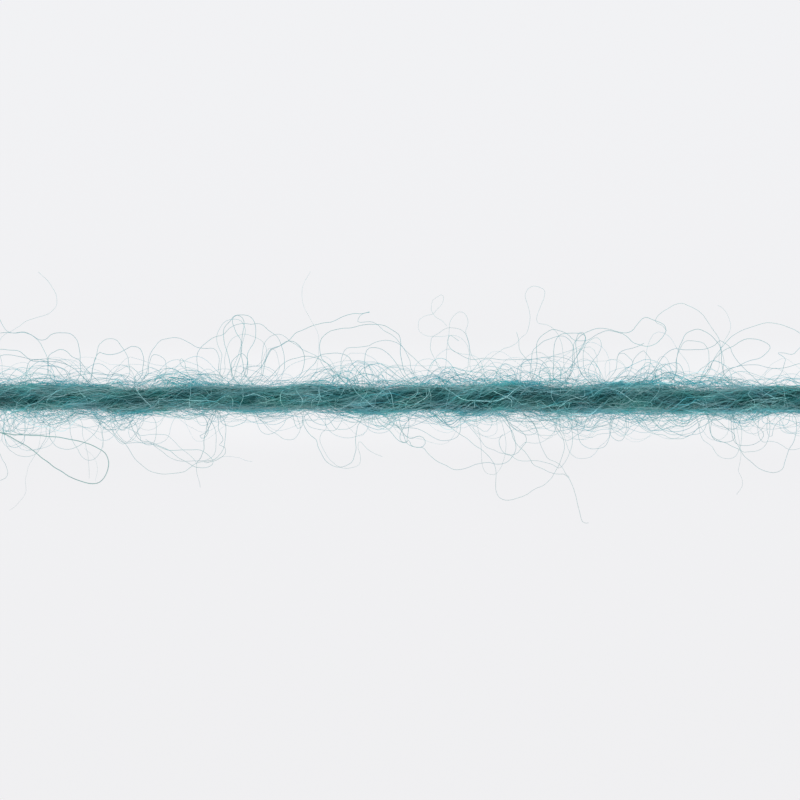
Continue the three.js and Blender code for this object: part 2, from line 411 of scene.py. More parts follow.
@dataclass(frozen=True)
class Lay:
    """How the yarn is plied: where its plies stand out to the side, how thick it is, how high it lies."""

    length: float = 80 * MM
    ply_offset: float = 0.55 * MM
    bearing_height: float = 1.24 * MM
    samples: int = 89
    # One row for each place where a ply stands out on the +Y side: its place along the yarn in millimetres,
    # the relative girth there and halfway to the next row, and how far to the +Y side of the frame's X axis
    # the yarn's axis lies there and halfway to the next row, in millimetres.
    rows: tuple[tuple[float, float, float, float, float], ...] = (
        (-50.6, 0.95, 0.95, 0.01, 0.01),
        (-40.4, 0.95, 0.95, 0.04, 0.04),
        (-29.4, 0.89, 0.92, -0.03, -0.26),
        (-19.3, 0.89, 0.86, 0.00, -0.14),
        (-7.8, 0.88, 1.03, 0.01, -0.24),
        (2.8, 0.94, 1.04, -0.07, -0.23),
        (10.3, 1.08, 0.97, -0.01, -0.17),
        (21.3, 1.11, 0.91, -0.10, -0.30),
        (34.0, 0.94, 0.94, -0.24, -0.29),
        (44.8, 0.95, 0.95, -0.17, -0.17),
        (56.0, 0.95, 0.95, -0.07, -0.07),
    )
    end_rounding: float = 0.5 * MM
    end_share: float = 0.2  # how thick its plies are at its very ends, for their thickness
    skin_radius: float = 1.15 * MM  # how far from its axis the loose fibres leave it
    fringe_depth: float = 0.9 * MM  # how much of a loose fibre's stand the fringe's unevenness scales
    # How far the loose fibres stand out on the +Y side and on the other, against the usual 1, by the place
    # along the yarn in millimetres.
    fringe: tuple[tuple[float, float, float], ...] = (
        (-50.0, 0.86, 0.92), (-42.0, 0.86, 1.84), (-36.0, 0.77, 2.21), (-33.0, 0.52, 2.02),
        (-31.0, 0.69, 1.75), (-29.0, 0.69, 0.83), (-26.8, 0.77, 1.56), (-25.3, 1.29, 1.29),
        (-23.8, 0.95, 0.55), (-21.3, 1.29, 0.64), (-19.0, 1.20, 0.92), (-16.0, 0.77, 0.55),
        (-12.3, 0.43, 0.74), (-9.2, 0.43, 0.37), (-6.8, 1.03, 0.64), (-5.0, 1.55, 0.55),
        (-2.5, 1.46, 1.01), (-0.5, 0.77, 0.74), (2.0, 0.69, 0.83), (3.7, 1.29, 1.47), (6.4, 0.86, 0.46),
        (8.3, 1.20, 0.83), (10.8, 0.77, 0.46), (13.5, 0.86, 0.74), (15.5, 1.03, 1.29), (17.0, 1.29, 1.47),
        (19.0, 0.77, 0.74), (21.3, 0.52, 1.38), (24.0, 1.38, 1.29), (26.2, 1.20, 1.29),
        (28.0, 1.29, 0.64), (30.0, 0.95, 0.83), (31.6, 0.77, 1.47), (34.0, 0.52, 0.64),
        (36.2, 0.95, 0.46), (42.0, 0.86, 0.74), (50.0, 0.86, 0.92),
    )

    def turns(self, x: float) -> float:
        """Returns how many plies have passed the +Y side up to a place along the yarn."""
        return smooth([row[0] * MM for row in self.rows], list(range(len(self.rows))), x)

    def girth(self, x: float) -> float:
        """Returns the relative girth at a place along the yarn."""
        return self.swayed(x, 1)

    def aside(self, x: float) -> float:
        """Returns how far to the +Y side the yarn's axis lies at a place along it."""
        return self.swayed(x, 3) * MM

    def swayed(self, x: float, column: int) -> float:
        """Returns what a column of the rows, with the halfway column after it, says at a place."""
        places, values = [], []
        for here, after in zip(self.rows, self.rows[1:]):
            places += [here[0] * MM, (here[0] + after[0]) / 2 * MM]
            values += [here[column], here[column + 1]]
        return smooth(places, values, x)

    def above(self, x: float) -> float:
        """Returns how far the loose fibres stand out on the +Y side at a place along the yarn."""
        return smooth([row[0] * MM for row in self.fringe], [row[1] for row in self.fringe], x)

    def below(self, x: float) -> float:
        """Returns how far the loose fibres stand out on the -Y side at a place along the yarn."""
        return smooth([row[0] * MM for row in self.fringe], [row[2] for row in self.fringe], x)

    def centreline(self, points: int) -> list[tuple[float, float, float]]:
        """Returns points along the yarn's axis, from its -X end to its +X end."""
        places = [self.length * (i / (points - 1) - 0.5) for i in range(points)]
        return [(x, self.aside(x), self.bearing_height * self.girth(x)) for x in places]

    def sampled(self, tree: Tree, x: Field, values: Callable[[float], float]) -> Field:
        """Returns one of the lay's numbers as a field of the place along the yarn."""
        span = self.length * 1.1
        places = [span * (i / (self.samples - 1) - 0.5) for i in range(self.samples)]
        return tree.curve(x / span + 0.5, [values(place) for place in places])

    def place(
        self, tree: Tree, x: Field, third: Number, out: Number, across: Number, floor: Number
    ) -> Field:
        """Puts a point beside the yarn's axis, in a frame that turns with the plies.

        Args:
            tree: The tree that the point is in.
            x: The place along the yarn.
            third: The ply's number, or a number between two for the groove between them.
            out: The distance from the axis towards that ply.
            across: The distance across that direction.
            floor: The least height over the surface.

        Returns:
            The point.
        """
        angle = (third - self.sampled(tree, x, self.turns)) * THIRD
        return self.beside(tree, x, angle, out, across, floor)

    def beside(
        self, tree: Tree, x: Field, angle: Number, out: Number, across: Number, floor: Number
    ) -> Field:
        """Puts a point beside the yarn's axis at a fixed bearing from +Y towards +Z.

        Args:
            tree: The tree that the point is in.
            x: The place along the yarn.
            angle: The bearing.
            out: The distance from the axis at that bearing.
            across: The distance across that direction.
            floor: The least height over the surface.

        Returns:
            The point.
        """
        girth = self.sampled(tree, x, self.girth)
        sine, cosine = tree.sin(angle), tree.cos(angle)
        y = (out * cosine - across * sine) * girth + self.sampled(tree, x, self.aside)
        z = (out * sine + across * cosine + self.bearing_height) * girth
        return tree.vector(x, y, tree.least(z, floor))

    def fringed(self, tree: Tree, place: Field, follow: Number) -> Field:
        """Moves a point of a loose fibre out or in, by how far the fringe stands out there.

        Args:
            tree: The tree that the point is in.
            place: The point.
            follow: How far the fibre follows the fringe's unevenness, where 1 is wholly.

        Returns:
            The moved point.
        """
        x, y, z = tree.split(place)
        girth = self.sampled(tree, x, self.girth)
        axis, height = self.sampled(tree, x, self.aside), girth * self.bearing_height
        right, up = y - axis, z - height
        reach = tree.math("SQRT", right * right + up * up)
        skin = girth * self.skin_radius
        share = tree.most(tree.least(right / (2.0 * self.skin_radius) + 0.5, 0.0), 1.0)
        above, below = self.sampled(tree, x, self.above), self.sampled(tree, x, self.below)
        stand = tree.least(reach - skin, 0.0)
        extra = tree.most(stand, self.fringe_depth) * (below + (above - below) * share - 1.0) * follow
        scale = (tree.most(reach, skin) + stand + extra) / tree.least(reach, 0.01 * MM)
        return tree.vector(x, axis + right * scale, tree.least(height + up * scale, FLOOR))

    def rounded(self, tree: Tree, x: Field) -> Field:
        """Returns 1 along the yarn, falling to a fifth at its ends, where its plies are rounded."""
        inset = (self.length / 2 - tree.size(x)) / self.end_rounding
        return tree.least(tree.most(inset, 1.0), self.end_share ** 2) ** 0.5

    def skin(self, tree: Tree, theta: Number, radius: Number) -> Field:
        """Returns the distance from a ply's axis to its skin: round outside, flat against its neighbours."""
        flat = self.ply_offset * math.sin(THIRD / 2)
        flank = tree.least(tree.sin(tree.size(theta) - THIRD / 2), 0.0) / flat
        return ((1 / radius) ** 6 + flank ** 6) ** (-1 / 6)


def smooth(places: list[float], values: list[float], x: float) -> float:
    """Returns the value at x of a smooth curve through points, with slopes taken from the neighbours.

    Args:
        places: Where the points are, in rising order.
        values: The points' values.
        x: Where to read the curve.

    Returns:
        The curve's value at x.
    """
    last = len(places) - 3
    after = next((i for i, place in enumerate(places) if place > x), last)
    i = min(max(after - 1, 1), last)

    def slope(k: int) -> float:
        """Returns the slope at a point."""
        return (values[k + 1] - values[k - 1]) / (places[k + 1] - places[k - 1])

    width = places[i + 1] - places[i]
    t = (x - places[i]) / width
    start = t * (1 - t) ** 2 * width * slope(i)
    end = t * t * (t - 1) * width * slope(i + 1)
    return values[i] + (values[i + 1] - values[i]) * t * t * (3 - 2 * t) + start + end


@dataclass(frozen=True)
class WoolFinish:
    """A wool surface, whose tone follows each fibre's shade and uneven patches along the yarn, with painted
    light at the yarn's sides.
    """

    name: str
    tones: tuple[tuple[float, float, float], ...]  # its colours at a shade of 0, 1 and so on
    patch_amount: float = 0.3
    patch_length: float = 5.0 * MM
    patch_width: float = 1.1 * MM
    side_light: float = 0.0  # how much paler its colour is painted at the yarn's sides, as painted light where light comes through
    side_middle: float = -0.12 * MM
    side_width: float = 1.25 * MM
    roughness: float = 0.7
    specular: float = 0.15
    cast: float = 0.016  # how far its hue wanders, in turns
    cast_width: float = 1.3 * MM
    fill: float = 1.02  # its saturation, against its tones'
    depth: float = 0.12  # how far its saturation wanders
    depth_width: float = 1.0 * MM
    tilt: float = 0.04  # how much more saturated it is at its +Y side than at its middle

    def build(self) -> bpy.types.Material:
        """Builds the material.

        Returns:
            The material.
        """
        made = bpy.data.materials.new(self.name)
        made.use_nodes = True
        tree = Nodes(made.node_tree)
        shader = tree.group.nodes["Principled BSDF"]
        shader.inputs["Roughness"].default_value = self.roughness
        shader.inputs["Specular IOR Level"].default_value = self.specular
        place = tree.node("ShaderNodeTexCoord").outputs["Object"]
        y = tree.split(place)[1]
        shade = Field(tree, tree.node("ShaderNodeAttribute", attribute_name="shade").outputs["Fac"])
        shade = shade + self.patches(tree, place) + self.sides(tree, y)
        steps = len(self.tones) - 1
        ramp = tree.node("ShaderNodeValToRGB", {"Fac": shade / float(steps)})
        for _ in self.tones[2:]:
            ramp.color_ramp.elements.new(0.5)
        for i, tone in enumerate(self.tones):
            ramp.color_ramp.elements[i].position = i / steps
            ramp.color_ramp.elements[i].color = (*tone, 1)
        hue = tree.math("MULTIPLY_ADD", self.drift(tree, place, self.cast_width, 3.0), self.cast, 0.5)
        depth = self.drift(tree, place, self.depth_width, 17.0)
        fill = tree.math("MULTIPLY_ADD", depth, self.depth, self.fill)
        fill = tree.math("MULTIPLY_ADD", y, self.tilt / self.side_width, fill)
        inputs = {"Color": ramp.outputs["Color"], "Hue": hue, "Saturation": fill}
        tree.feed(shader.inputs["Base Color"], tree.out("ShaderNodeHueSaturation", inputs))
        return made

    def drift(self, tree: Nodes, place: bpy.types.NodeSocket, width: float, salt: float) -> Field:
        """Returns noise from about -1 to 1, in lengths drawn out along the yarn.

        Args:
            tree: The material's tree.
            place: The point.
            width: The noise's width across the yarn.
            salt: A number that sets it apart from other noise.

        Returns:
            The noise.
        """
        moved = tree.node("ShaderNodeVectorMath", operation="MULTIPLY_ADD")
        changes = (place, (0.4 / width, 1 / width, 1 / width), (salt, salt, salt))
        for socket, value in zip(moved.inputs, changes):
            tree.feed(socket, value)
        return tree.math("MULTIPLY_ADD", tree.noise(moved.outputs[0], 1.0), 4.0, -2.0)

    def patches(self, tree: Nodes, place: bpy.types.NodeSocket) -> Field:
        """Returns noise drawn out along the yarn, from about minus the patch amount to plus it."""
        drawn = tree.node("ShaderNodeVectorMath", operation="DIVIDE")
        tree.feed(drawn.inputs[0], place)
        tree.feed(drawn.inputs[1], (self.patch_length, self.patch_width, self.patch_width))
        return (tree.noise(drawn.outputs[0], 2.0) - 0.5) * (5.0 * self.patch_amount)

    def sides(self, tree: Nodes, y: Field) -> Field:
        """Returns painted light: a rise from nothing over the yarn's middle to the side light at its sides.
        """
        share = tree.most(tree.size((y - self.side_middle) / self.side_width), 1.1)
        return share ** 3.0 * self.side_light


@dataclass(frozen=True)
class Patch:
    """A place on the yarn's upper side where its wool is painted darker as painted shade, or paler as
    painted light.
    """

    x: float  # its middle along the yarn, in millimetres
    y: float  # its middle to the side, in millimetres
    length: float  # half its length, in millimetres
    width: float  # half its width, in millimetres
    tilt: float  # the turn of its length from the yarn's, in degrees
    tone: float  # how much it changes the shade of the wool in it: painted shade below 0, painted light above


PAINTED_PATCH_STRENGTH = 1.2
# The places of painted shade and painted light that show from above, from the -X end; the first is a long
# band of painted light along the upper side.
PATCHES = (
    Patch(0.0, 0.32, 60.0, 0.32, 0, 0.07), Patch(-36.1, -0.60, 0.6, 0.28, 20, -0.4),
    Patch(-35.6, -0.05, 1.1, 0.23, 12, -0.5), Patch(-34.2, -0.32, 1.0, 0.20, 5, -0.6),
    Patch(-33.8, 0.78, 0.9, 0.28, 0, 0.3), Patch(-32.0, -0.14, 0.8, 0.37, 0, 0.2),
    Patch(-31.9, 0.78, 0.7, 0.23, 0, -0.3), Patch(-30.5, 0.05, 0.7, 0.23, 10, -0.5),
    Patch(-30.0, -0.60, 0.9, 0.37, 0, 0.3), Patch(-29.0, 0.87, 2.6, 0.37, 0, 0.4),
    Patch(-26.7, -0.32, 1.0, 0.23, 12, -0.6), Patch(-24.8, 0.78, 0.9, 0.37, 0, -0.25),
    Patch(-24.6, 0.14, 1.1, 0.46, 0, -0.25), Patch(-22.7, 0.05, 0.6, 0.23, 20, -0.5),
    Patch(-22.7, -1.06, 0.6, 0.14, 0, -0.3), Patch(-21.6, -0.60, 0.7, 0.23, 5, -0.4),
    Patch(-21.2, 0.87, 1.8, 0.28, 0, 0.25), Patch(-20.1, 0.14, 1.0, 0.46, 10, -0.5),
    Patch(-18.8, -0.60, 0.8, 0.37, 10, 0.35), Patch(-17.2, -0.23, 0.9, 0.37, 10, -0.2),
    Patch(-16.6, 0.60, 0.9, 0.28, 0, 0.2), Patch(-14.0, -0.69, 0.7, 0.28, 10, -0.3),
    Patch(-13.8, -0.05, 0.8, 0.23, 15, -0.7), Patch(-11.8, 0.41, 0.6, 0.28, 10, -0.35),
    Patch(-10.7, 0.23, 0.4, 0.18, 30, -0.5), Patch(-9.2, 0.23, 1.6, 0.55, 0, 0.4),
    Patch(-8.7, 0.87, 1.6, 0.15, 0, -0.35), Patch(-8.7, -0.60, 1.3, 0.18, 3, -0.35),
    Patch(-7.8, 1.24, 1.8, 0.23, 0, 0.3), Patch(-6.4, 0.51, 0.9, 0.28, 10, 0.25),
    Patch(-6.2, -0.32, 0.7, 0.28, 10, -0.45), Patch(-4.7, 0.23, 1.4, 0.23, 14, -0.4),
    Patch(-3.7, -0.60, 1.4, 0.46, 0, 0.35), Patch(-2.4, 0.60, 0.4, 0.18, 0, -0.4),
    Patch(-1.7, -0.51, 0.7, 0.28, 0, -0.3), Patch(-1.6, 0.32, 0.9, 0.46, 0, 0.25),
    Patch(0.4, 0.23, 0.9, 0.23, 15, -0.5), Patch(1.4, 1.06, 1.3, 0.28, 0, 0.4),
    Patch(2.9, -0.97, 0.8, 0.17, 8, -0.5), Patch(3.3, 0.51, 0.6, 0.28, 0, -0.6),
    Patch(3.5, -0.23, 0.8, 0.32, 0, -0.4), Patch(6.2, -0.51, 0.6, 0.18, 28, -0.7),
    Patch(7.4, -0.87, 0.9, 0.32, 5, -0.5), Patch(7.4, 0.78, 2.3, 0.37, 5, 0.2),
    Patch(8.5, 0.05, 1.6, 0.28, 10, -0.6), Patch(8.6, -0.69, 0.7, 0.23, 10, -0.3),
    Patch(11.0, -0.87, 2.0, 0.37, 5, 0.2), Patch(12.2, 0.05, 1.1, 0.28, 8, -0.4),
    Patch(13.9, -0.23, 1.3, 0.32, 3, -0.5), Patch(14.9, 0.87, 1.3, 0.23, -5, -0.3),
    Patch(16.4, -0.41, 0.7, 0.23, 15, -0.5), Patch(18.4, -1.06, 1.7, 0.23, 0, 0.15),
    Patch(18.6, 0.23, 0.9, 0.23, 10, -0.3), Patch(18.7, -0.51, 1.4, 0.17, 10, -0.45),
    Patch(21.0, 0.97, 1.3, 0.37, 0, 0.35), Patch(21.3, 0.05, 0.7, 0.17, 10, -0.35),
    Patch(21.3, -0.69, 1.3, 0.37, 0, 0.12), Patch(24.1, -0.51, 1.3, 0.23, 8, -0.35),
    Patch(26.5, -0.87, 1.3, 0.28, 0, 0.15), Patch(26.7, 0.14, 1.5, 0.28, 5, -0.4),
    Patch(28.3, -0.41, 0.7, 0.37, 0, 0.35), Patch(29.0, 0.69, 2.0, 0.55, 10, 0.35),
    Patch(29.3, -0.87, 0.7, 0.18, 5, -0.2), Patch(31.4, -0.23, 1.1, 0.23, 18, -0.45),
    Patch(31.7, -0.69, 0.9, 0.18, 5, -0.3), Patch(32.0, 0.97, 1.5, 0.28, 10, 0.35),
    Patch(33.1, -0.97, 1.1, 0.32, 0, 0.3), Patch(33.5, 0.41, 1.2, 0.23, 16, -0.8),
    Patch(35.2, 0.14, 1.1, 0.37, 0, -0.5), Patch(36.4, -0.51, 0.6, 0.28, 0, -0.3),
)


def patch_group() -> bpy.types.NodeTree:
    """Returns the node group that adds one patch's painted shade or light, at a point, to a total."""
    name = "patch"
    if name in bpy.data.node_groups:
        return bpy.data.node_groups[name]
    tree = Tree(name, 0)
    x, y = tree.input("X", 0.0), tree.input("Y", 0.0)
    right, up = x - tree.input("Middle X", 0.0), y - tree.input("Middle Y", 0.0)
    cosine, sine = tree.input("Cosine", 1.0), tree.input("Sine", 0.0)
    along = (right * cosine + up * sine) / tree.input("Length", MM)
    across = (up * cosine - right * sine) / tree.input("Width", MM)
    share = tree.math("EXPONENT", (along * along + across * across) * -1.0)
    total = share * tree.input("Tone", 0.0) + tree.input("Total", 0.0)
    tree.group.interface.new_socket(name="Total", in_out="OUTPUT", socket_type="NodeSocketFloat")
    tree.feed(tree.node("NodeGroupOutput").inputs[0], total)
    return tree.group


def painted_patch_shade_and_light(tree: Tree, lay: Lay, place: Field) -> Field:
    """Says how much painted shade and light the patches add to the wool at a point.

    Args:
        tree: The tree.
        lay: The yarn's lay.
        place: The point.

    Returns:
        The change.
    """
    x, y, z = tree.split(place)
    group = patch_group()
    total = 0.0
    for patch in PATCHES:
        tilt = math.radians(patch.tilt)
        inputs = {
            "X": x,
            "Y": y,
            "Middle X": patch.x * MM,
            "Middle Y": patch.y * MM,
            "Cosine": math.cos(tilt),
            "Sine": math.sin(tilt),
            "Length": patch.length * MM,
            "Width": patch.width * MM,
            "Tone": patch.tone,
            "Total": total,
        }
        total = Field(tree, tree.out("GeometryNodeGroup", inputs, node_tree=group))
    return total * tree.math("GREATER_THAN", z, lay.bearing_height) * PAINTED_PATCH_STRENGTH


def crown_light_share(tree: Tree, lay: Lay, place: Field) -> Field:
    """Says how far a point lies over the yarn's crown, where loose fibres take painted shade and light.

    Args:
        tree: The tree.
        lay: The yarn's lay.
        place: The point.

    Returns:
        1 over the middle of the yarn, and 0 beside it and under it.
    """
    _, y, z = tree.split(place)
    aside = tree.most(tree.size(y) / lay.bearing_height, 1.0)
    return (1.0 - aside ** 3.0) * tree.math("GREATER_THAN", z, lay.bearing_height)


FibrePath = Callable[[Tree, Field, Field], tuple[Field, Field]]


def fibre_tree(name: str, seed: int, points: int, path: FibrePath) -> Tree:
    """Builds a tree that grows many fibres, each a closed three-sided tube along its own path.

    Args:
        name: The tree's name.
        seed: The tree's seed.
        points: How many points each fibre has.
        path: What places each point and gives its shade, from its share along the fibre and the fibre.

    Returns:
        The tree.
    """
    tree = Tree(name, seed)
    count, radius = tree.input("Count", 100, "Int"), tree.input("Radius", 0.016 * MM)
    line = tree.out("GeometryNodeCurvePrimitiveLine", {"End": (1.0, 0.0, 0.0)})
    divided = tree.out("GeometryNodeResampleCurve", {"Curve": line, "Count": points}, mode="COUNT")
    spots = tree.out("GeometryNodePoints", {"Count": count})
    copies = tree.out("GeometryNodeInstanceOnPoints", {"Points": spots, "Instance": divided})
    curves = tree.number_curves(tree.out("GeometryNodeRealizeInstances", {"Geometry": copies}))
    fibre = tree.stored("fibre")
    place, shade = path(tree, tree.stored("along"), fibre)
    inputs = {"Geometry": tree.store(curves, "shade", shade), "Position": place}
    moved = tree.out("GeometryNodeSetPosition", inputs)
    tubes = tubes_along(tree, moved, radius, tree.random(0.6, 1.25, fibre))
    tree.finish(with_bake_map(tree, tubes, count))
    return tree


def tubes_along(tree: Tree, curves: object, radius: Field, scale: Field) -> object:
    """Turns curves into closed three-sided tubes.

    Args:
        tree: The tree.
        curves: The curves' socket.
        radius: The tubes' radius.
        scale: Each curve's share of that radius.

    Returns:
        The mesh's socket.
    """
    ring = tree.out("GeometryNodeCurvePrimitiveCircle", {"Resolution": 3, "Radius": radius}, mode="RADIUS")
    profile = tree.store(ring, "around", Field(tree, tree.out("GeometryNodeInputIndex")) / 2.0)
    inputs = {"Curve": curves, "Profile Curve": profile, "Scale": scale, "Fill Caps": True}
    return tree.out("GeometryNodeCurveToMesh", inputs)


def with_bake_map(tree: Tree, mesh: object, count: Number, columns: float = 8.0) -> object:
    """Gives tubes a UV map in which each fibre has a narrow strip of its own.

    Args:
        tree: The tree.
        mesh: The mesh's socket.
        count: How many fibres there are.
        columns: How many columns of strips the map has.

    Returns:
        The mesh's socket.
    """
    along, fibre, around = tree.stored("along"), tree.stored("fibre"), tree.stored("around")
    column = tree.math("MODULO", fibre, columns)
    row = tree.math("FLOOR", fibre / columns)
    rows = tree.math("CEIL", (count + 0.0) / columns)
    u = (column + 0.05 + along * 0.9) / columns
    v = (row + 0.1 + around * 0.8) / rows
    return tree.store(mesh, "OFBake", tree.vector(u, v), "FLOAT2", "CORNER")


@dataclass(frozen=True)
class PlyBody:
    """The close-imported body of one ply, with the ridges of its fibres raised in its skin."""

    lay: Lay
    rings: int = 250
    sides: int = 24
    radius: float = 0.44 * MM
    ridge: float = 0.045 * MM  # how far its fibres' ridges stand out
    ridges: float = 2.2  # how fine they are round the ply
    lump: float = 0.05 * MM  # how far its slower unevenness stands out
    lumps: float = 350.0  # how many swings that takes in a metre
    dark: float = 0.4  # its middle shade, and how far its ridges change it, as painted light on them and painted shade between them

    def tree(self) -> Tree:
        """Builds the tree: a sheet rolled into a tube, wound by the lay, closed at its seam and its ends.

        Returns:
            The tree.
        """
        tree = Tree("ply_body", 1)
        ply, radius = tree.input("Ply", 0, "Int"), tree.input("Radius", self.radius)
        size = {"Vertices X": tree.input("Rings", self.rings, "Int"), "Vertices Y": self.sides + 1}
        sheet = tree.node("GeometryNodeMeshGrid", {"Size X": 1.0, "Size Y": 1.0, **size})
        mapped = tree.store(sheet.outputs["Mesh"], "OFBake", sheet.outputs["UV Map"], "FLOAT2", "CORNER")
        share, turn, _ = tree.split(tree.out("GeometryNodeInputPosition"))
        edge = 0.5 - 1.5 / self.rings
        x = tree.most(tree.least(share, -edge), edge) * (self.lay.length / (2 * edge))
        open_share = tree.math("LESS_THAN", tree.size(share), edge + 0.5 / self.rings)
        theta = turn * TURN
        salted = ply + 1.0
        fine, slow = (self.ridges, 10.0), (0.8, 20.0)
        ridges = tree.ripple(self.read_at(tree, x * CRIMPS, theta, salted, *fine), 3.0)
        lumps = tree.ripple(self.read_at(tree, x * self.lumps, theta, salted, *slow), 1.0)
        skin = self.lay.skin(tree, theta, radius) + ridges * self.ridge + lumps * self.lump
        skin = skin * open_share * self.lay.rounded(tree, x)
        out = skin * tree.cos(theta) + self.lay.ply_offset
        place = self.lay.place(tree, x, ply, out, skin * tree.sin(theta), 0.0)
        moved = tree.out("GeometryNodeSetPosition", {"Geometry": mapped, "Position": place})
        # Painted light on the ridges and painted shade between them, with the patches' painted shade and
        # light.
        shade = ridges * self.dark + painted_patch_shade_and_light(tree, self.lay, place) + self.dark
        inputs = {"Geometry": tree.store(moved, "shade", shade), "Distance": 0.0005 * MM}
        merged = tree.out("GeometryNodeMergeByDistance", inputs)
        tree.finish(tree.out("GeometryNodeSetShadeSmooth", {"Geometry": merged}))
        return tree

    def read_at(self, tree: Tree, x: Field, theta: Field, salted: Field, fine: float, salt: float) -> Field:
        """Returns the point at which noise is read for a point of the skin, so that it meets at the seam.

        Args:
            tree: The tree.
            x: The place along the noise.
            theta: The bearing round the ply.
            salted: A number of the ply's own.
            fine: How fine the noise is round the ply.
            salt: How far apart the plies' noise is.

        Returns:
            The point.
        """
        return tree.vector(x, tree.cos(theta) * fine, tree.sin(theta) * fine + salted * salt)


@dataclass(frozen=True)
class PlyFibres:
    """The fibres that lie on a ply, most of them in locks that share a place and a drift."""

    lay: Lay
    count: int = 2000
    points: int = 12
    radius: float = 0.48 * MM
    locks: float = 420.0
    length: tuple[float, float] = (2 * MM, 6.5 * MM)
    scatter: float = 3 * MM  # how far along the yarn a fibre lies from its lock's middle
    reach: float = 2.1  # how far round its ply a lock can lie, in radians from the outside
    fan: float = 0.5  # how far round its ply a fibre lies from its lock, in radians
    drift: float = -150.0  # how fast a fibre goes round its ply, in radians a metre
    drift_spread: float = 240.0  # how much faster or slower a lock can go
    own_drift: float = 600.0  # how much faster or slower than its lock a fibre can go
    snake: float = 0.4  # how far round its ply a fibre swings, in radians
    snakes: float = 600.0  # how many such swings there are in a metre
    crimp: float = 0.07 * MM
    tuck: float = 0.09 * MM  # how deep a fibre's ends lie
    cut: float = 0.35 * MM  # how far short of the yarn's end a fibre can stop
    fray: float = 1.3 * MM  # how far past it a fibre can reach
    stand: float = 0.12 * MM  # how far proud of its ply a share 1/e of the fibres stand
    lock_stand: float = 0.04 * MM  # how far proud or deep a lock can lie
    stand_per_lit_tone: float = 1.2 * MM  # how far proud a fibre stands to be painted one tone paler, as painted light
    groove_shade: float = 0.3  # how much darker a fibre is painted where its ply turns under, as painted shade
    worn: float = 0.8  # how much paler the fibres' tips are painted at the yarn's ends, as painted light on tips clear of the yarn's shade

    def tree(self) -> Tree:
        """Returns the tree of one ply's fibres."""
        return fibre_tree("ply_fibres", 2, self.points, self.path)

    def path(self, tree: Tree, t: Field, fibre: Field) -> tuple[Field, Field]:
        """Places the points of a fibre on its ply.

        Args:
            tree: The tree.
            t: The share along the fibre.
            fibre: The fibre's index.

        Returns:
            The points' places and shades.
        """
        ply = tree.input("Ply", 0, "Int")
        half = self.lay.length / 2
        lock = tree.math("FLOOR", tree.random(0.0, self.locks, fibre))
        middle = tree.spread(half, lock) + tree.spread(self.scatter, fibre)
        length = tree.random(*self.length, fibre)
        end = half + tree.random(-self.cut, self.fray, fibre)
        first = tree.least(middle - length / 2, 0.0 - end)
        last = tree.most(middle + length / 2, end)
        x = first + (last - first) * t
        drift = tree.random(self.drift - self.drift_spread, self.drift + self.drift_spread, lock)
        drift = drift + tree.spread(self.own_drift, fibre)
        theta = tree.spread(self.reach, lock) + tree.spread(self.fan, fibre)
        theta = theta + drift * (x - middle) + tree.wander(x * self.snakes, fibre, 1.0) * self.snake
        chance = tree.least(tree.random(0.0, 1.0, fibre), 0.02)
        stand = tree.math("LOGARITHM", 1.0 / chance, math.e) * self.stand
        layer = tree.spread(self.lock_stand, lock) + stand
        crimp = tree.wander(x * CRIMPS, fibre) * self.crimp
        tuck = (1.0 - tree.sin(t * math.pi) ** 0.5) * self.tuck
        rounded = self.lay.rounded(tree, x)
        skin = self.lay.skin(tree, theta, self.radius) + layer + crimp - tuck
        skin = skin * tree.least(rounded, tree.random(0.1, 1.1, fibre))
        out = skin * tree.cos(theta) + self.lay.ply_offset
        # Fibres standing proud are painted paler, as painted light.
        shade = tree.random(-0.1, 0.2, fibre) + tree.random(-0.15, 0.2, lock) + stand / self.stand_per_lit_tone
        # Painted shade where the ply turns under, and painted light on the tips at the yarn's ends.
        shade = shade - (tree.size(theta) / self.reach) ** 2.0 * self.groove_shade + (1.0 - rounded) * self.worn
        place = self.lay.place(tree, x, ply, out, skin * tree.sin(theta), 0.02 * MM)
        return place, shade + painted_patch_shade_and_light(tree, self.lay, place)


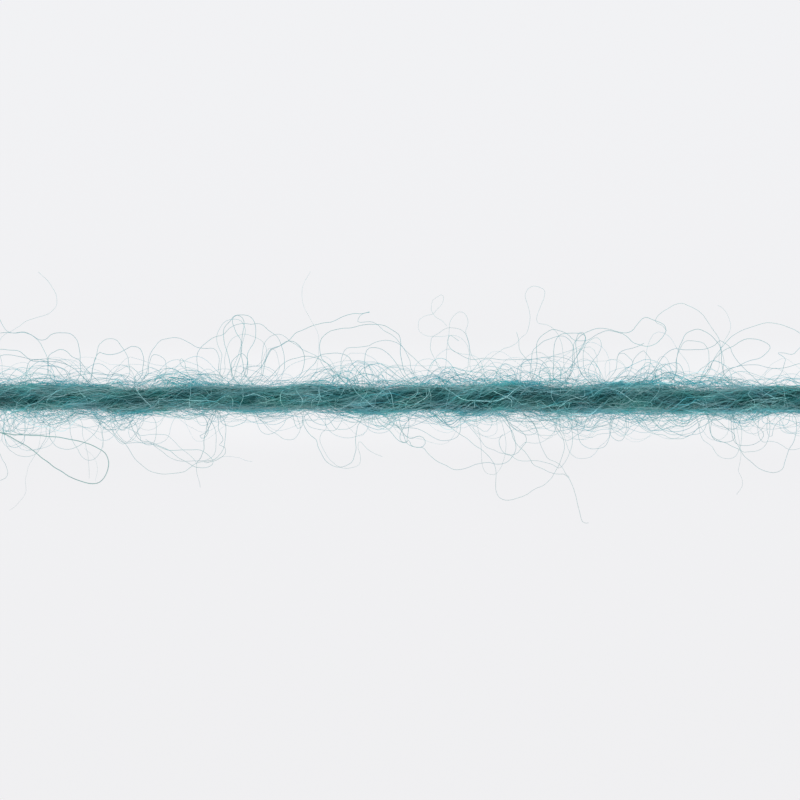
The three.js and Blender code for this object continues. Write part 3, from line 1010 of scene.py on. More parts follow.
@dataclass(frozen=True)
class LooseFibres:
    """Fibres that leave the yarn, stand off it in arches and loops of an even bend, and come back to it."""

    lay: Lay
    name: str
    seed: int
    count: int
    points: int
    length: tuple[float, float]
    rise: tuple[float, float]  # the angle at which a fibre leaves the yarn, in radians
    bend: float  # how far a fibre's heading swings on its way, in radians
    slant: float  # how far its heading swings out of the plane of its arch, in radians
    root: float
    reach: float  # how far from level, or from its ply's outside, a fibre can root, in radians
    on_ply: bool = False  # whether it stands off one ply instead of off the whole yarn
    veer: float = 0.5  # how far round the yarn a fibre goes, in radians
    lift: float = 0.0  # how far out of its root a whole fibre can lie
    radius: float = 0.019 * MM
    tufts: float = 0.25  # the share of the fibres that gather in tufts
    tuft_count: float = 60.0
    tuft_width: float = 0.02  # how far a fibre lies from its tuft's middle, as a share of half the yarn
    lean: float = 0.0  # how many more stand on the +Y side than on the other, from 0 to 1
    shades: tuple[float, float] = (1.7, 2.2)
    fade: float = 8.0 * MM  # how far out a fibre is one tone greyer; nearer the yarn it is painted more saturated, as light scattered among its fibres
    crown: float = 3.0  # the shade of the palest fibres that lie over the yarn, painted pale as painted light
    worn: bool = False  # whether its fibres take the tone of the ply under them
    rare: float = 6.0  # the higher it is, the fewer of those over the yarn are painted pale, and the more take the core's painted shade
    crimp: float = 0.2  # how strong its quickest wave is
    glint_share: float = 0.05  # the share of the fibres beside the yarn that are painted pale, as painted glints
    pale: float = 3.0  # their shade, painted pale as painted glints
    hugs: bool = False  # whether a fibre that goes to the side follows the yarn round
    margin: float = 0.5 * MM  # how far inside the yarn's ends its fibres stay

    def tree(self) -> Tree:
        """Returns the tree of these fibres."""
        return fibre_tree(self.name, self.seed, self.points, self.path)

    def path(self, tree: Tree, t: Field, fibre: Field) -> tuple[Field, Field]:
        """Places the points of a fibre, by adding up its steps.

        Args:
            tree: The tree.
            t: The share along the fibre.
            fibre: The fibre's index.

        Returns:
            The points' places and shades.
        """
        length = tree.random(*self.length, fibre)
        rise = tree.random(*self.rise, fibre)
        heading = rise * (1.0 - t * 2.0) + self.swing(tree, t, fibre) * self.bend
        slant = self.swing(tree, t, fibre) * self.slant
        level = tree.cos(slant)
        step = tree.vector(tree.cos(heading) * level, tree.sin(heading) * level, tree.sin(slant))
        stride = length / (self.points - 1.0) * self.either(tree, fibre)
        scaled = tree.node("ShaderNodeVectorMath", {"Vector": step, "Scale": stride}, operation="SCALE")
        (ahead, up, aside), (whole, top, over) = tree.walk(Field(tree, scaled.outputs[0]), fibre)
        x = self.middle(tree, fibre, whole) + ahead - whole / 2.0
        out = tree.size(up - top * t)
        side = aside - over * t
        # Painted more saturated near the yarn, as light scattered among its fibres.
        shade = tree.random(*self.shades, fibre) - tree.most(out / self.fade, 0.9)
        out = out + self.root + tree.random(0.0, self.lift, fibre) * tree.random(0.0, 1.0, fibre)
        turn = tree.spread(self.veer, fibre) * (t - 0.5)
        follow = tree.random(0.1, 1.9, fibre)
        if self.on_ply:
            ply = tree.math("FLOOR", tree.random(0.0, float(PLIES), fibre))
            theta = tree.spread(self.reach, fibre) + turn
            sine, cosine = tree.sin(theta), tree.cos(theta)
            outward = out * cosine - side * sine + self.lay.ply_offset
            place = self.lay.place(tree, x, ply, outward, out * sine + side * cosine, FLOOR)
        else:
            tilt = tree.random(-self.reach / 2, self.reach, fibre)
            bearing = TURN / 4 + (TURN / 4 - tilt) * self.either(tree, fibre, self.lean) + turn
            if self.hugs:
                bearing, side = bearing + side / self.root, 0.0
            place = self.lay.beside(tree, x, bearing, out, side, FLOOR)
        place = self.lay.fringed(tree, place, follow)
        return place, self.shade(tree, fibre, place, shade)

    def middle(self, tree: Tree, fibre: Field, whole: Field) -> Field:
        """Chooses where along the yarn a fibre's middle lies, by itself or in a tuft.

        Args:
            tree: The tree.
            fibre: The fibre's index.
            whole: How far along the yarn the fibre goes.

        Returns:
            The place.
        """
        room = self.lay.length / 2 - tree.size(whole) / 2.0 - self.margin
        tuft = tree.math("FLOOR", tree.random(0.0, self.tuft_count, fibre))
        gathered = tree.spread(1.0, tuft) * (1.0 - 2 * self.tuft_width)
        for _ in range(2):
            gathered = gathered + tree.spread(self.tuft_width, fibre)
        loner = tree.math("GREATER_THAN", tree.random(0.0, 1.0, fibre), self.tufts)
        return (gathered + (tree.spread(1.0, fibre) - gathered) * loner) * room

    def shade(self, tree: Tree, fibre: Field, place: Field, shade: Field) -> Field:
        """Works out the shade at a point of a fibre.

        Args:
            tree: The tree.
            fibre: The fibre's index.
            place: The point.
            shade: The fibre's own shade there.

        Returns:
            The shade.
        """
        if self.worn:
            return shade + painted_patch_shade_and_light(tree, self.lay, place)
        # A few fibres are painted pale, as painted glints.
        pale = tree.math("LESS_THAN", tree.random(0.0, 1.0, fibre), self.glint_share)
        shade = shade + (self.pale - shade) * pale
        # Over the crown most fibres take painted shade like the core's, a few painted light, with the
        # patches' painted shade and light.
        over = tree.random(0.0, 1.0, fibre) ** self.rare * self.crown + painted_patch_shade_and_light(tree, self.lay, place)
        return shade + (over - shade) * crown_light_share(tree, self.lay, place)

    def either(self, tree: Tree, fibre: Field, lean: float = 0.0) -> Field:
        """Returns 1 for one half of the fibres and -1 for the other, or for more of them with a lean."""
        return tree.math("SIGN", tree.random(-1.0 - lean, 1.0 - lean, fibre))

    def swing(self, tree: Tree, t: Field, fibre: Field) -> Field:
        """Returns a slow and a quicker wave added together, from about -1 to 1."""
        total = 0.0
        for slowest, share in ((0.6, 0.65), (1.5, 0.35), (3.0, self.crimp)):
            pace = tree.random(slowest, slowest * 2.0, fibre)
            height = tree.random(0.2, 1.0, fibre) * share
            total = tree.sin((t * pace + tree.random(0.0, 1.0, fibre)) * TURN) * height + total
        return total


@dataclass(frozen=True)
class Stray:
    """One long fibre, clear of the yarn or across it, drawn through given points."""

    route: tuple[float, ...]  # each point's place along the yarn and then to the side, in millimetres
    level: float = 1.2  # how high it lies where it is well clear of the yarn, in millimetres
    thickness: float = 1.0
    shade: float = 1.0


@dataclass(frozen=True)
class Strays:
    """The long strays, each rooted in the yarn's side where it ends close by."""

    lay: Lay
    strays: tuple[Stray, ...]
    radius: float = 0.0235 * MM
    root: float = 0.9 * MM  # how far to the side of the yarn's axis a stray is rooted
    near: float = 3.2 * MM  # an end within this of the axis is rooted, and any other is a free tip
    greyed: float = 6.5 * MM  # how far from the axis an ordinary stray's painted, deeper shade fades out deeper: float = 0.5 # how much deeper its shade is painted at the axis, as light scattered among the yarn's fibres
    deeper: float = 0.5  # how much deeper its shade is at the axis
    cover: float = 1.30 * MM  # the radius of the yarn with its fibres, which a stray lies over
    pale_scale: float = 0.87  # how thick a pale stray is for its thickness
    spacing: float = 0.3 * MM  # how far apart the points of a stray's tube are
    waver: float = 0.05 * MM  # how far a stray strays from a smooth line

    def grow(self, material: bpy.types.Material) -> bpy.types.Mesh:
        """Draws the strays' routes, and grows tubes along smooth curves through them.

        Args:
            material: Their material.

        Returns:
            The mesh.
        """
        corners, edges, shades, scales = [], [], [], []
        for stray in self.strays:
            points = self.points(stray)
            start = len(corners)
            corners += points
            edges += [(i, i + 1) for i in range(start, start + len(points) - 1)]
            shades += [self.shade(stray, point) for point in points]
            scales += [stray.thickness * (self.pale_scale if stray.shade == PALE else 1.0)] * len(points)
        routes = bpy.data.meshes.new("stray_routes")
        routes.from_pydata(corners, edges, [])
        for name, values in (("shade", shades), ("scale", scales)):
            routes.attributes.new(name, "FLOAT", "POINT").data.foreach_set("value", values)
        sizes = {"radius": self.radius, "count": len(self.strays)}
        return self.tree().grow("strays", routes, material=material, **sizes)

    def points(self, stray: Stray) -> list[tuple[float, float, float]]:
        """Returns a stray's points, with a root at each end that is near the yarn."""
        flat = [(x * MM, y * MM) for x, y in zip(stray.route[::2], stray.route[1::2])]
        if abs(flat[0][1]) < self.near:
            flat.insert(0, self.rooted(flat[0], flat[1]))
        if abs(flat[-1][1]) < self.near:
            flat.append(self.rooted(flat[-1], flat[-2]))
        return [(x, y, self.height(x, y, stray.level * MM)) for x, y in flat]

    def shade(self, stray: Stray, point: tuple[float, float, float]) -> float:
        """Returns a stray's shade at a point, painted deeper near the yarn for an ordinary one."""
        near = max(1.0 - abs(point[1]) / self.greyed, 0.0)
        return stray.shade + self.deeper * near if stray.shade < 2.0 else stray.shade

    def rooted(self, end: tuple[float, float], before: tuple[float, float]) -> tuple[float, float]:
        """Returns the root of a stray that comes to its end from another point."""
        drop = max(abs(end[1]) - self.root, 0.0)
        return end[0] + math.copysign(drop, end[0] - before[0]), math.copysign(self.root, end[1])

    def height(self, x: float, y: float, level: float) -> float:
        """Works out how high a stray lies.

        Args:
            x: The place along the yarn.
            y: The place to the side.
            level: The stray's height where it is well clear of the yarn.

        Returns:
            The height.
        """
        girth = self.lay.girth(x)
        axis, cover = self.lay.bearing_height * girth, self.cover * girth
        clear = min(max((abs(y) - cover) / (3 * cover), 0.0), 1.0)
        over = math.sqrt(max(cover * cover - y * y, 0.0))
        return axis + over + (level - axis) * clear * clear * (3 - 2 * clear)

    def tree(self) -> Tree:
        """Builds the tree: smooth curves through the routes, with a slight waver, and tubes along them.

        Returns:
            The tree.
        """
        tree = Tree("strays", 21, starts_with_geometry=True)
        count, radius = tree.input("Count", 1, "Int"), tree.input("Radius", self.radius)
        spacing = tree.input("Spacing", self.spacing)
        lines = tree.out("GeometryNodeMeshToCurve", {"Mesh": tree.entry.outputs["Geometry"]})
        smoothed = tree.out("GeometryNodeCurveSplineType", {"Curve": lines}, spline_type="CATMULL_ROM")
        inputs = {"Curve": smoothed, "Length": spacing}
        divided = tree.out("GeometryNodeResampleCurve", inputs, mode="LENGTH")
        numbered = tree.number_curves(divided)
        walked = Field(tree, tree.node("GeometryNodeSplineParameter").outputs["Length"]) * CRIMPS
        index = tree.stored("fibre")
        waver = tree.vector(tree.wander(walked, index) * self.waver, tree.wander(walked, index) * self.waver)
        bent = tree.out("GeometryNodeSetPosition", {"Geometry": numbered, "Offset": waver})
        tubes = tubes_along(tree, bent, radius, tree.stored("scale"))
        tree.finish(with_bake_map(tree, tubes, count))
        return tree


def add_piece(name: str, mesh: bpy.types.Mesh, finish: Finish) -> bpy.types.Object:
    """Makes a mesh a piece of the yarn.

    Args:
        name: The piece's name.
        mesh: Its mesh.
        finish: Not used.

    Returns:
        The piece.
    """
    piece = bpy.data.objects.new(name, mesh)
    bpy.context.scene.collection.objects.link(piece)
    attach(piece, BODY)
    mesh.calc_loop_triangles()
    LOG.info("%s: %d triangles", name, len(mesh.loop_triangles))
    return piece


FAINT = 0.6
THICK = 2.1
GREY = 4.0
# PALE is the shade of strays painted pale as painted light, where they are lit over the yarn.
PALE = 3.0
# A route is x, y, x, y and so on: millimetres along the yarn from its middle, and to the side.
STRAYS = (
    # Over the far side, from the -X end.
    Stray((-33.1, 11.5, -32.4, 10.9, -31.7, 10, -31.4, 9.2, -31.4, 8.4, -31.8, 7.9, -32.5, 7.5,
        -33.3, 7.3, -34.2, 7, -34.8, 6.5, -35.4, 6.1, -36.1, 5.8, -36.5, 5.3, -36.7, 4.6, -36.5, 3.4,
        -36.4, 2), 4.0, FAINT),
    Stray((-36.8, 2, -37.8, 5.4, -37.4, 7.3, -36.8, 7.3, -36.5, 6.7, -36, 6.1, -35.3, 5.9, -34.6, 6,
        -33.9, 5.8, -33.2, 5.3, -32.8, 4.7, -32.5, 4.1, -32.3, 3.5, -32.2, 2), 2.4, 0.9),
    Stray((-38.6, 2, -38, 5.2, -36.8, 5.9, -35.4, 5.9, -34.5, 6, -33.8, 5.7, -33.1, 5.3, -32.5, 5.3,
        -32, 5.7, -31.5, 5.9, -30.8, 5.9, -30.2, 5.8, -29.7, 5.3, -29.4, 4.6, -29.3, 3.9, -29.3, 3.3,
        -29.4, 2), 2.0, 1.0),
    Stray((-38.8, 2.2, -38, 4, -36.8, 4.4, -35.9, 4.4, -35, 4.3, -34.4, 3.8, -33.8, 3.4, -32.7, 3.3,
        -31.6, 3.3, -30, 2.7), 1.4),
    Stray((-38.2, 2.6, -36.8, 3.8, -35.9, 3.9, -35, 3.8, -34.2, 3.6, -33.5, 3.4, -32.8, 3.5, -32, 3.5,
        -31.3, 3.4, -30.4, 2.9, -29.6, 2.4), 1.0),
    Stray((-32.4, 2, -32.2, 3.7, -31.7, 4.2, -31.1, 4.4, -30.5, 4.2, -30, 3.7, -29.4, 3.4,
        -28.8, 2.6), 2.8),
    Stray((-34.5, 1.8, -34.2, 2.7, -34, 3.3, -33.5, 3.5, -32.6, 3.4, -31.7, 2.9, -31.2, 2.2), 2.2),
    Stray((-33.9, 1.9, -33.5, 2.4, -32.9, 2.8, -32.2, 2.9, -31.3, 2.8, -30.7, 2.4, -30.4, 1.9), 1.0),
    Stray((-28.4, 1.8, -28.2, 2.4, -28.1, 3.1, -27.9, 3.6, -27.7, 4.4, -27.6, 4.8, -27.2, 5.2, -26.7, 5.4,
        -26, 5.3, -25.6, 4.8, -25.2, 4.3, -24.9, 3.6, -24.8, 2.7, -24.9, 2), 3.0, 0.9),
    Stray((-28.4, 1.7, -28.2, 2.7, -28, 3.5, -27.6, 4.1, -27.1, 4, -26.5, 4, -25.8, 4.1, -25.2, 4.4,
        -24.7, 4.7, -24.4, 4.7, -23.9, 4.5, -23.6, 4, -23.5, 3.4, -23.6, 2.6, -23.7, 2), 1.5),
    Stray((-23.2, 2.1, -23.1, 3.1, -22.9, 4, -22.5, 4.6, -22, 5.2, -21.3, 5.4, -20.7, 5.5, -20, 5.4,
        -19.3, 5, -18.7, 4.6, -17.8, 4.5, -17, 4.5, -16.6, 3.6, -16.5, 2.2), 2.2, 0.9),
    Stray((-23.4, 2, -22.8, 3.7, -22.3, 3.9, -21.7, 3.6, -21.5, 3.2, -21.6, 2.2), 3.0, 0.8),
    Stray((-19.5, 2.2, -19.7, 3.2, -20, 3.6, -20.2, 3.3, -20, 2.8, -19.5, 2.5, -18.6, 2.3), 2.8, 0.8),
    # The tall bunch of loops.
    Stray((-18.4, 2, -18.6, 3.8, -18.3, 4.5, -17.9, 4.9, -17.3, 5.4, -16.7, 5.6, -16.1, 5.8, -15.7, 6.3,
        -15.2, 6.6, -14.3, 6.8, -13.6, 6.7, -13.1, 6.8, -12.6, 6.7, -12.1, 6.2, -11.6, 5.8, -11.1, 5.3,
        -10.8, 4.6, -10.6, 3.4, -10.8, 2.2), 2.6, 0.9),
    Stray((-15.4, 1.8, -15.5, 2.5, -15.6, 3.3, -15.8, 4.2, -16.1, 5, -16.2, 5.8, -16, 6.5, -15.5, 7,
        -15.1, 7.5, -14.4, 7.6, -13.9, 7.5, -13.4, 7, -13.2, 6.4, -13.2, 5.8, -13.3, 5.2, -13.7, 4.4,
        -14, 3.8, -14, 3, -14.3, 2), 3.2, 1.1),
    Stray((-14.2, 2, -14.4, 3, -14.6, 4.2, -14.6, 5.2, -15, 5.9, -15.3, 6.7, -15.4, 7.1, -15.1, 7.5,
        -14.7, 7.5, -14.4, 7.2, -14.3, 6.6, -14.4, 5.9, -14.5, 5.3, -14.5, 4.4, -14.7, 3.5, -15.1, 2.5,
        -15.3, 1.8), 2.0, 1.1),
    Stray((-15.3, 1.8, -15.5, 2.5, -15.5, 3.1, -15.2, 3.6, -14.7, 4, -14.4, 4, -14.1, 3.6, -14, 3.1,
        -14.1, 2), 1.4, 1.1),
    Stray((-16.6, 2, -16.4, 3, -16.3, 3.9, -16.5, 4.4, -16.7, 5.1, -16.7, 5.8, -16.4, 6.5, -15.9, 7,
        -15.2, 7.2, -14.5, 7, -14.1, 6.2, -14.3, 5.4, -14.6, 4.6, -15, 3.4, -15.7, 2.2), 3.6, 0.7),
    Stray((-16.2, 2.2, -16, 3.8, -15.7, 4.9, -15.2, 5.5, -14.5, 5.75, -13.8, 5.75, -13.1, 5.5, -12.5, 5,
        -12.2, 4.3, -12.4, 3.4, -13.1, 2.2), 3.0, FAINT),
    Stray((-14.6, 2.2, -14.1, 2.8, -13.2, 2.9, -12.6, 3.4, -12.4, 4, -12, 4.5, -11.4, 4.2, -11.1, 3.2,
        -11.3, 2.2), 2.2, FAINT),
    Stray((-12.8, 2, -12.7, 3, -12.6, 4.2, -12.5, 4.8, -12.1, 5.4, -11.7, 5.7, -11.1, 5.8, -10.6, 5.6,
        -10.1, 5.2, -9.5, 4.8, -8.9, 4.4, -8.1, 4, -7.4, 3.6, -6.8, 2.6), 2.4, 0.8),
    Stray((-12.7, 1.9, -12.4, 3.2, -12.1, 3.9, -11.8, 4.4, -11.1, 4.7, -10.5, 5.1, -9.9, 5.2, -9.4, 4.9,
        -9, 4.4, -8.8, 3.7, -8.8, 3.1, -9.1, 2.1), 1.6, 1.1),
    Stray((-11.9, 1.9, -11.4, 2.5, -10.8, 3.1, -10.1, 3.5, -9.2, 3.7, -8.3, 3.8, -7.5, 3.6, -7, 3.3,
        -6.4, 2.9, -5.6, 2), 1.1),
    # The long strand and the wide arch.
    Stray((-12.6, 3, -11.9, 4.3, -11, 4.7, -10.2, 5.2, -9.8, 5.7, -9.5, 6, -8.7, 6.3, -8, 6.6, -7.2, 6.8,
        -6.4, 6.9, -5.9, 7.1, -5.3, 7.4, -4.7, 7.6, -4, 7.7, -3.5, 7.7, -2.8, 7.9), 2.6, 1.1),
    Stray((-2.8, 7.8, -3.4, 7.7, -3.7, 7.5, -3.9, 7.1, -3.8, 6.9, -3.1, 6.9, -2.5, 6.9, -2, 6.6,
        -1.6, 6.2, -0.9, 5.8, -0.3, 5.3, 0.2, 4.7, 0.7, 4.1, 1.4, 3.5, 2.2, 2.8, 2.9, 2.3,
        3.7, 1.7), 2.2, 0.9),
    Stray((-6, 2.3, -6.6, 3, -7.2, 3.5, -7.4, 4.2, -7.4, 4.8, -7.2, 5.4, -6.8, 5.8, -6.3, 6.1, -5.5, 6.3,
        -4.6, 6.4, -3.7, 6.6, -2.8, 6.7, -1.9, 6.7, -1.2, 6.5, -0.6, 6.1, -0.1, 5.7, 0.1, 5, 0, 4.2,
        0.2, 3.3, 0.6, 2.1), 1.6, 1.1),
    Stray((-8, 3, -7.4, 3.8, -6.8, 4, -6, 4.1, -5.2, 4, -4.6, 3.6, -4.2, 2.8), 1.0),
    Stray((-5, 1.8, -5.3, 2.5, -5.4, 3.3, -5.3, 3.9, -5, 4.4, -4.5, 4.6, -3.7, 4.6, -2.9, 4.7, -2.4, 5,
        -1.7, 5.2, -0.9, 5.2, -0.2, 5, 0.4, 4.4, 0.9, 3.4, 1.2, 2.2), 2.8, 0.8),
    Stray((-2.9, 1.8, -3.2, 2.6, -3.3, 3.2, -3.2, 3.9, -2.9, 4.5, -2.5, 4.6, -1.8, 4.5, -1.2, 4.1,
        -0.6, 3.5, -0.2, 2.9, 0.3, 2), 1.5),
    Stray((-8.2, 11.5, -8.6, 10.8, -8.9, 9.9, -8.9, 9, -8.6, 7.9, -8.2, 7.2, -7.7, 6.4, -7.4, 5.2,
        -7.5, 3.6, -7.8, 2.2), 4.4, 0.4),
    # The faint curls past the middle.
    Stray((4.3, 6.5, 3.8, 7, 3.3, 7.3, 2.9, 7.9, 2.9, 8.3, 3, 8.9, 3.4, 9.2, 3.8, 9.4, 4, 9.2, 4, 8.8,
        3.8, 8.4, 3.4, 8, 3, 7.6, 2.4, 7.5, 1.8, 7.1, 1.7, 6.7, 1.7, 6.2, 2.1, 5.8, 2.6, 5.6, 3.2, 5.6,
        3.9, 5.6, 4.4, 5.7, 4.9, 5.7, 5.4, 5.5, 5.9, 5.1, 6.2, 4.6, 6.4, 3.8, 6.6, 2.4), 3.8, 0.5),
    Stray((4, 2, 4.3, 4.6, 4.5, 6, 4.5, 6.7, 4.7, 7.2, 5.1, 7.6, 5.5, 7.8, 6, 7.6, 6.2, 7.1, 6.2, 6.6,
        6, 6.1, 6.1, 5.6, 6.3, 5, 6.4, 4.3, 6.7, 3.7, 7.1, 3.2, 7.6, 2.2), 3.2, 0.6),
    Stray((3.8, 2.4, 3.1, 3.7, 2.8, 4.4, 2.8, 5, 2.9, 5.5, 3.4, 5.8, 3.8, 6.1, 4.3, 6.4, 5, 6.4, 5.6, 6.2,
        6.1, 5.7, 6.3, 4.9, 6.4, 4.2, 6.3, 3.5, 6.1, 2.4), 2.4, 0.65),
    Stray((5.4, 5.2, 4.6, 5.7, 4.4, 5.4, 4.4, 5, 4.7, 4.5, 5.2, 4.1, 5.9, 3.7, 6.6, 3.5, 7.4, 3.6,
        8.3, 3.6, 9.2, 3.5, 10.6, 3.5, 12, 3.5, 13.3, 3.7, 14.7, 3.7, 15.6, 3.4, 16.3, 2.9,
        16.8, 2), 1.6, 0.9),
    Stray((7.4, 2.6, 8.3, 3.6, 8.9, 4.1, 9.5, 4.5, 10.1, 4.6, 10.7, 5, 11.1, 5.5, 11.6, 5.9, 11.8, 6.5,
        11.9, 7.3, 11.7, 8.2, 11.5, 9, 11.5, 9.5, 11.8, 10, 12.2, 10.2, 12.7, 10.1, 13.2, 9.8, 13.2, 9.2,
        13, 8.7, 12.7, 8, 12.5, 7.3, 12.6, 6.8, 13.1, 6.7, 13.6, 6.6, 14, 6.3, 14.5, 5.6, 14.9, 4.4,
        15.2, 2.4), 4.0, FAINT),
    # The round loops.
    Stray((12.1, 1.7, 12.4, 2.5, 12.6, 3.5, 12.5, 4.4, 12.6, 5.1, 12.9, 5.6, 13.3, 5.9, 13.9, 6.2,
        14.4, 6.2, 15, 6, 15.5, 5.7, 15.9, 5.3, 16.6, 5.2, 17.3, 5.3, 17.8, 5.6, 18.4, 5.9, 19, 6.1,
        19.8, 6, 20.3, 5.9), 2.0, 1.0),
    Stray((14.1, 1.7, 14.1, 2.7, 14.1, 3.5, 14.1, 4.4, 14.2, 5.1, 14.4, 5.5, 14.8, 5.8, 15.4, 5.9,
        16, 5.9, 16.7, 5.8, 17, 5.5, 16.9, 4.9, 16.6, 4.4, 16.2, 3.8, 15.9, 3.2, 15.5, 2.6, 15, 2.2,
        14.4, 2), 2.8, 1.1),
    Stray((15.6, 2, 15.8, 2.8, 15.8, 4.2, 15.9, 4.9, 16.2, 5.3, 16.7, 5.8, 17.4, 6.1, 18.1, 6.3,
        18.8, 6.3, 19.4, 6.2, 20, 6, 20.6, 5.9, 21.1, 6, 21.4, 6.2, 21.6, 6.5, 21.9, 6.9, 22.2, 7.2,
        22.6, 7.3, 23.2, 7.1, 23.7, 6.9, 24.2, 6.6, 24.4, 6.1, 24.2, 5.6, 23.8, 5.2, 23.3, 4.9, 22.6, 4.7,
        22.1, 4.8, 21.4, 5, 20.9, 5.5, 20.3, 5.9), 2.4, 1.1),
    Stray((12, 1.8, 12, 2.9, 12.1, 3.6, 12.2, 4.3, 12.7, 4.8, 13.2, 5.2, 13.8, 5.4, 14.5, 5.6, 15.2, 5.6,
        15.8, 5, 16, 4, 15.8, 2.4), 1.3, 0.9),
    Stray((10.7, 6, 10.9, 5.2, 11, 4.3, 11.4, 3.8, 11.8, 3.4, 12.1, 2.7, 12.2, 1.8), 2.0, 0.8),
    Stray((15.5, 1.8, 15.7, 2.5, 15.9, 3.2, 16.3, 3.9, 16.6, 4.6, 16.9, 5.1, 17, 5.6, 16.7, 6, 16.3, 5.7,
        16.1, 4.8, 16.3, 3.6, 16.6, 2.2), 1.8, 1.0),
    Stray((17.5, 1.8, 17.3, 2.6, 17.7, 3.4, 18.2, 4, 18.4, 4.8, 18.2, 5.4, 17.6, 5.4, 17, 4.8, 16.8, 3.8,
        17, 2.2), 3.4, 0.8),
    Stray((19.6, 2.2, 19.9, 3, 19.9, 3.6, 20.1, 4.1, 20.5, 4.3, 21.2, 4.5, 21.8, 4.7, 22.4, 5), 1.8, 0.9),
    Stray((20, 4, 20.5, 4.1, 21, 3.7, 21.4, 3.3, 21.2, 2.9, 20.5, 2.5), 2.2, 0.8),
    Stray((21, 2.2, 21.4, 3.4, 21.9, 4, 22.4, 4.3, 22.7, 4, 23, 3.5, 22.9, 2.7, 22.7, 2), 1.3, 0.9),
    # The arches towards the +X end.
    Stray((24.4, 6.1, 24, 6.6, 23.3, 7, 24, 7.8, 24.6, 8.2, 25.1, 8.5, 25.8, 8.6, 26.4, 8.4, 27, 8.1,
        27.7, 7.6, 28.2, 6.9, 28.6, 6.2, 29.1, 5.5, 29.3, 4.7, 29.5, 4, 29.7, 3.2, 29.7, 2.1), 3.4, 0.8),
    Stray((25.1, 1.7, 25.4, 2.7, 25.4, 3.6, 25.6, 4.5, 25.9, 5.2, 26.2, 5.8, 26.7, 6.1, 27.3, 6.3,
        27.9, 6.1, 28.4, 5.8, 28.9, 5.3, 29.3, 4.8, 29.5, 4, 29.6, 3, 29.9, 2), 2.0, 1.1),
    Stray((23.4, 2.6, 24.1, 3.7, 24.7, 4.2, 25.3, 4.5, 26, 4.4, 26.9, 4.4, 27.6, 4.4, 28.2, 4.5,
        28.9, 4.8, 29.3, 5.2, 29.8, 5, 30.3, 4.6, 30.5, 4.1, 30.9, 3.5, 31.5, 2.8), 1.4, 1.0),
    Stray((25.2, 2, 25.4, 3.8, 26, 5, 26.7, 5.2, 27.4, 5.1, 28, 4.8, 28.3, 4, 28.2, 2.4), 2.6, 0.8),
    Stray((28.2, 2.4, 28.8, 3.5, 29.3, 4, 29.8, 4.4, 30.5, 4.7, 31.1, 5.1, 31.7, 5.4, 32.3, 5.4,
        32.9, 5.3, 33.6, 5, 33.9, 4.6, 33.7, 4.2, 33.1, 3.7, 32.5, 3.5, 31.7, 3.2, 31, 2.9,
        30.2, 2.5), 2.4, 1.0),
    Stray((28.2, 2.2, 29, 4, 29.7, 4.9, 30.3, 5.5, 30.9, 5.9, 31.6, 6.3, 32.6, 6.6, 33.5, 6.8, 34.4, 6.8,
        35.2, 6.6, 36, 6.3, 36.8, 5.8, 37.5, 5.2, 38.2, 4.2, 38.6, 2.4), 2.8, 0.9),
    Stray((29, 8.4, 29.4, 8.2, 29.9, 7.6, 30.2, 6.7, 30, 5.8, 29.6, 5.1, 29.2, 4, 29.1, 2.4), 4.2, 0.5),
    Stray((34.9, 2.1, 35.2, 2.9, 35.4, 3.5, 35.1, 3.8, 34.7, 4, 34.6, 4.1, 35.2, 4.1, 36, 4, 36.5, 4.4,
        36.9, 4.8, 37.4, 5.2, 38.2, 5, 38.8, 4, 39, 2.4), 1.8, 0.9),
    Stray((29.4, 2.2, 30, 2.6, 31.1, 2.9, 32.1, 3, 33, 3, 34, 2.7, 35.2, 2.7, 36.2, 3, 37.4, 3.2,
        38.4, 2.6), 1.2, 0.9),
    # Over the near side, from the -X end: first the one coarse fibre.
    Stray((-38.8, -1.8, -37.6, -2.8, -36.8, -3.2, -35.9, -3.35, -34.5, -3.42, -32.7, -3.53, -31.3, -3.65,
        -30.2, -3.85, -29.1, -4.07, -28.2, -4.4, -27.3, -4.9, -26.9, -5.35, -26.7, -5.9, -26.75, -6.4,
        -26.9, -6.95, -27.15, -7.45, -27.55, -7.82, -28.1, -7.95, -28.8, -7.85, -29.7, -7.5, -30.7, -7,
        -31.8, -6.3, -32.9, -5.45, -34, -4.63, -35.1, -3.97, -36.1, -3.45, -36.9, -3.1,
        -37.8, -2.4), 2.2, THICK, GREY),
    Stray((-36.3, -2.4, -36.4, -3.3, -36.2, -4.1, -35.9, -4.7, -35.3, -5.2, -34.6, -5.4, -33.9, -5.4,
        -33.3, -5, -32.8, -4.2, -32.5, -3.6, -32.4, -2.6), 1.2, 0.8),
    Stray((-38.2, -2.2, -37.4, -4.2, -36.8, -5, -36.5, -5.7, -36.2, -6.1, -36, -6.8, -36.1, -7.3,
        -36.4, -7.5, -36.9, -7.6, -37.8, -7, -38.3, -5.6, -38.6, -4, -38.4, -2.2), 1.6, 0.9),
    Stray((-32.3, -2.4, -32.2, -3.4, -32, -4, -31.6, -4.5, -31.1, -4.7, -30.5, -4.8, -29.8, -4.6,
        -29.3, -4.3, -28.7, -3.9, -28.2, -3.5, -27.8, -3, -27.5, -2.2), 1.0, 0.9),
    Stray((-30.4, -2.2, -30.2, -3.4, -30, -4.1, -29.6, -4.7, -29.3, -5.3, -28.7, -5.7, -28.2, -5.7,
        -27.8, -5.4, -27.4, -4.8, -27.2, -4, -27.2, -2.8), 1.8, 0.8),
    Stray((-29.2, -2.2, -29.1, -3.3, -28.8, -4.3, -28.6, -5.3, -28.5, -6.2, -28.5, -7.4), 2.6, FAINT),
    Stray((-28.9, -4.6, -28.3, -5.2, -27.9, -5.8, -27.7, -6.8, -27.9, -7.7), 3.0, 0.4),
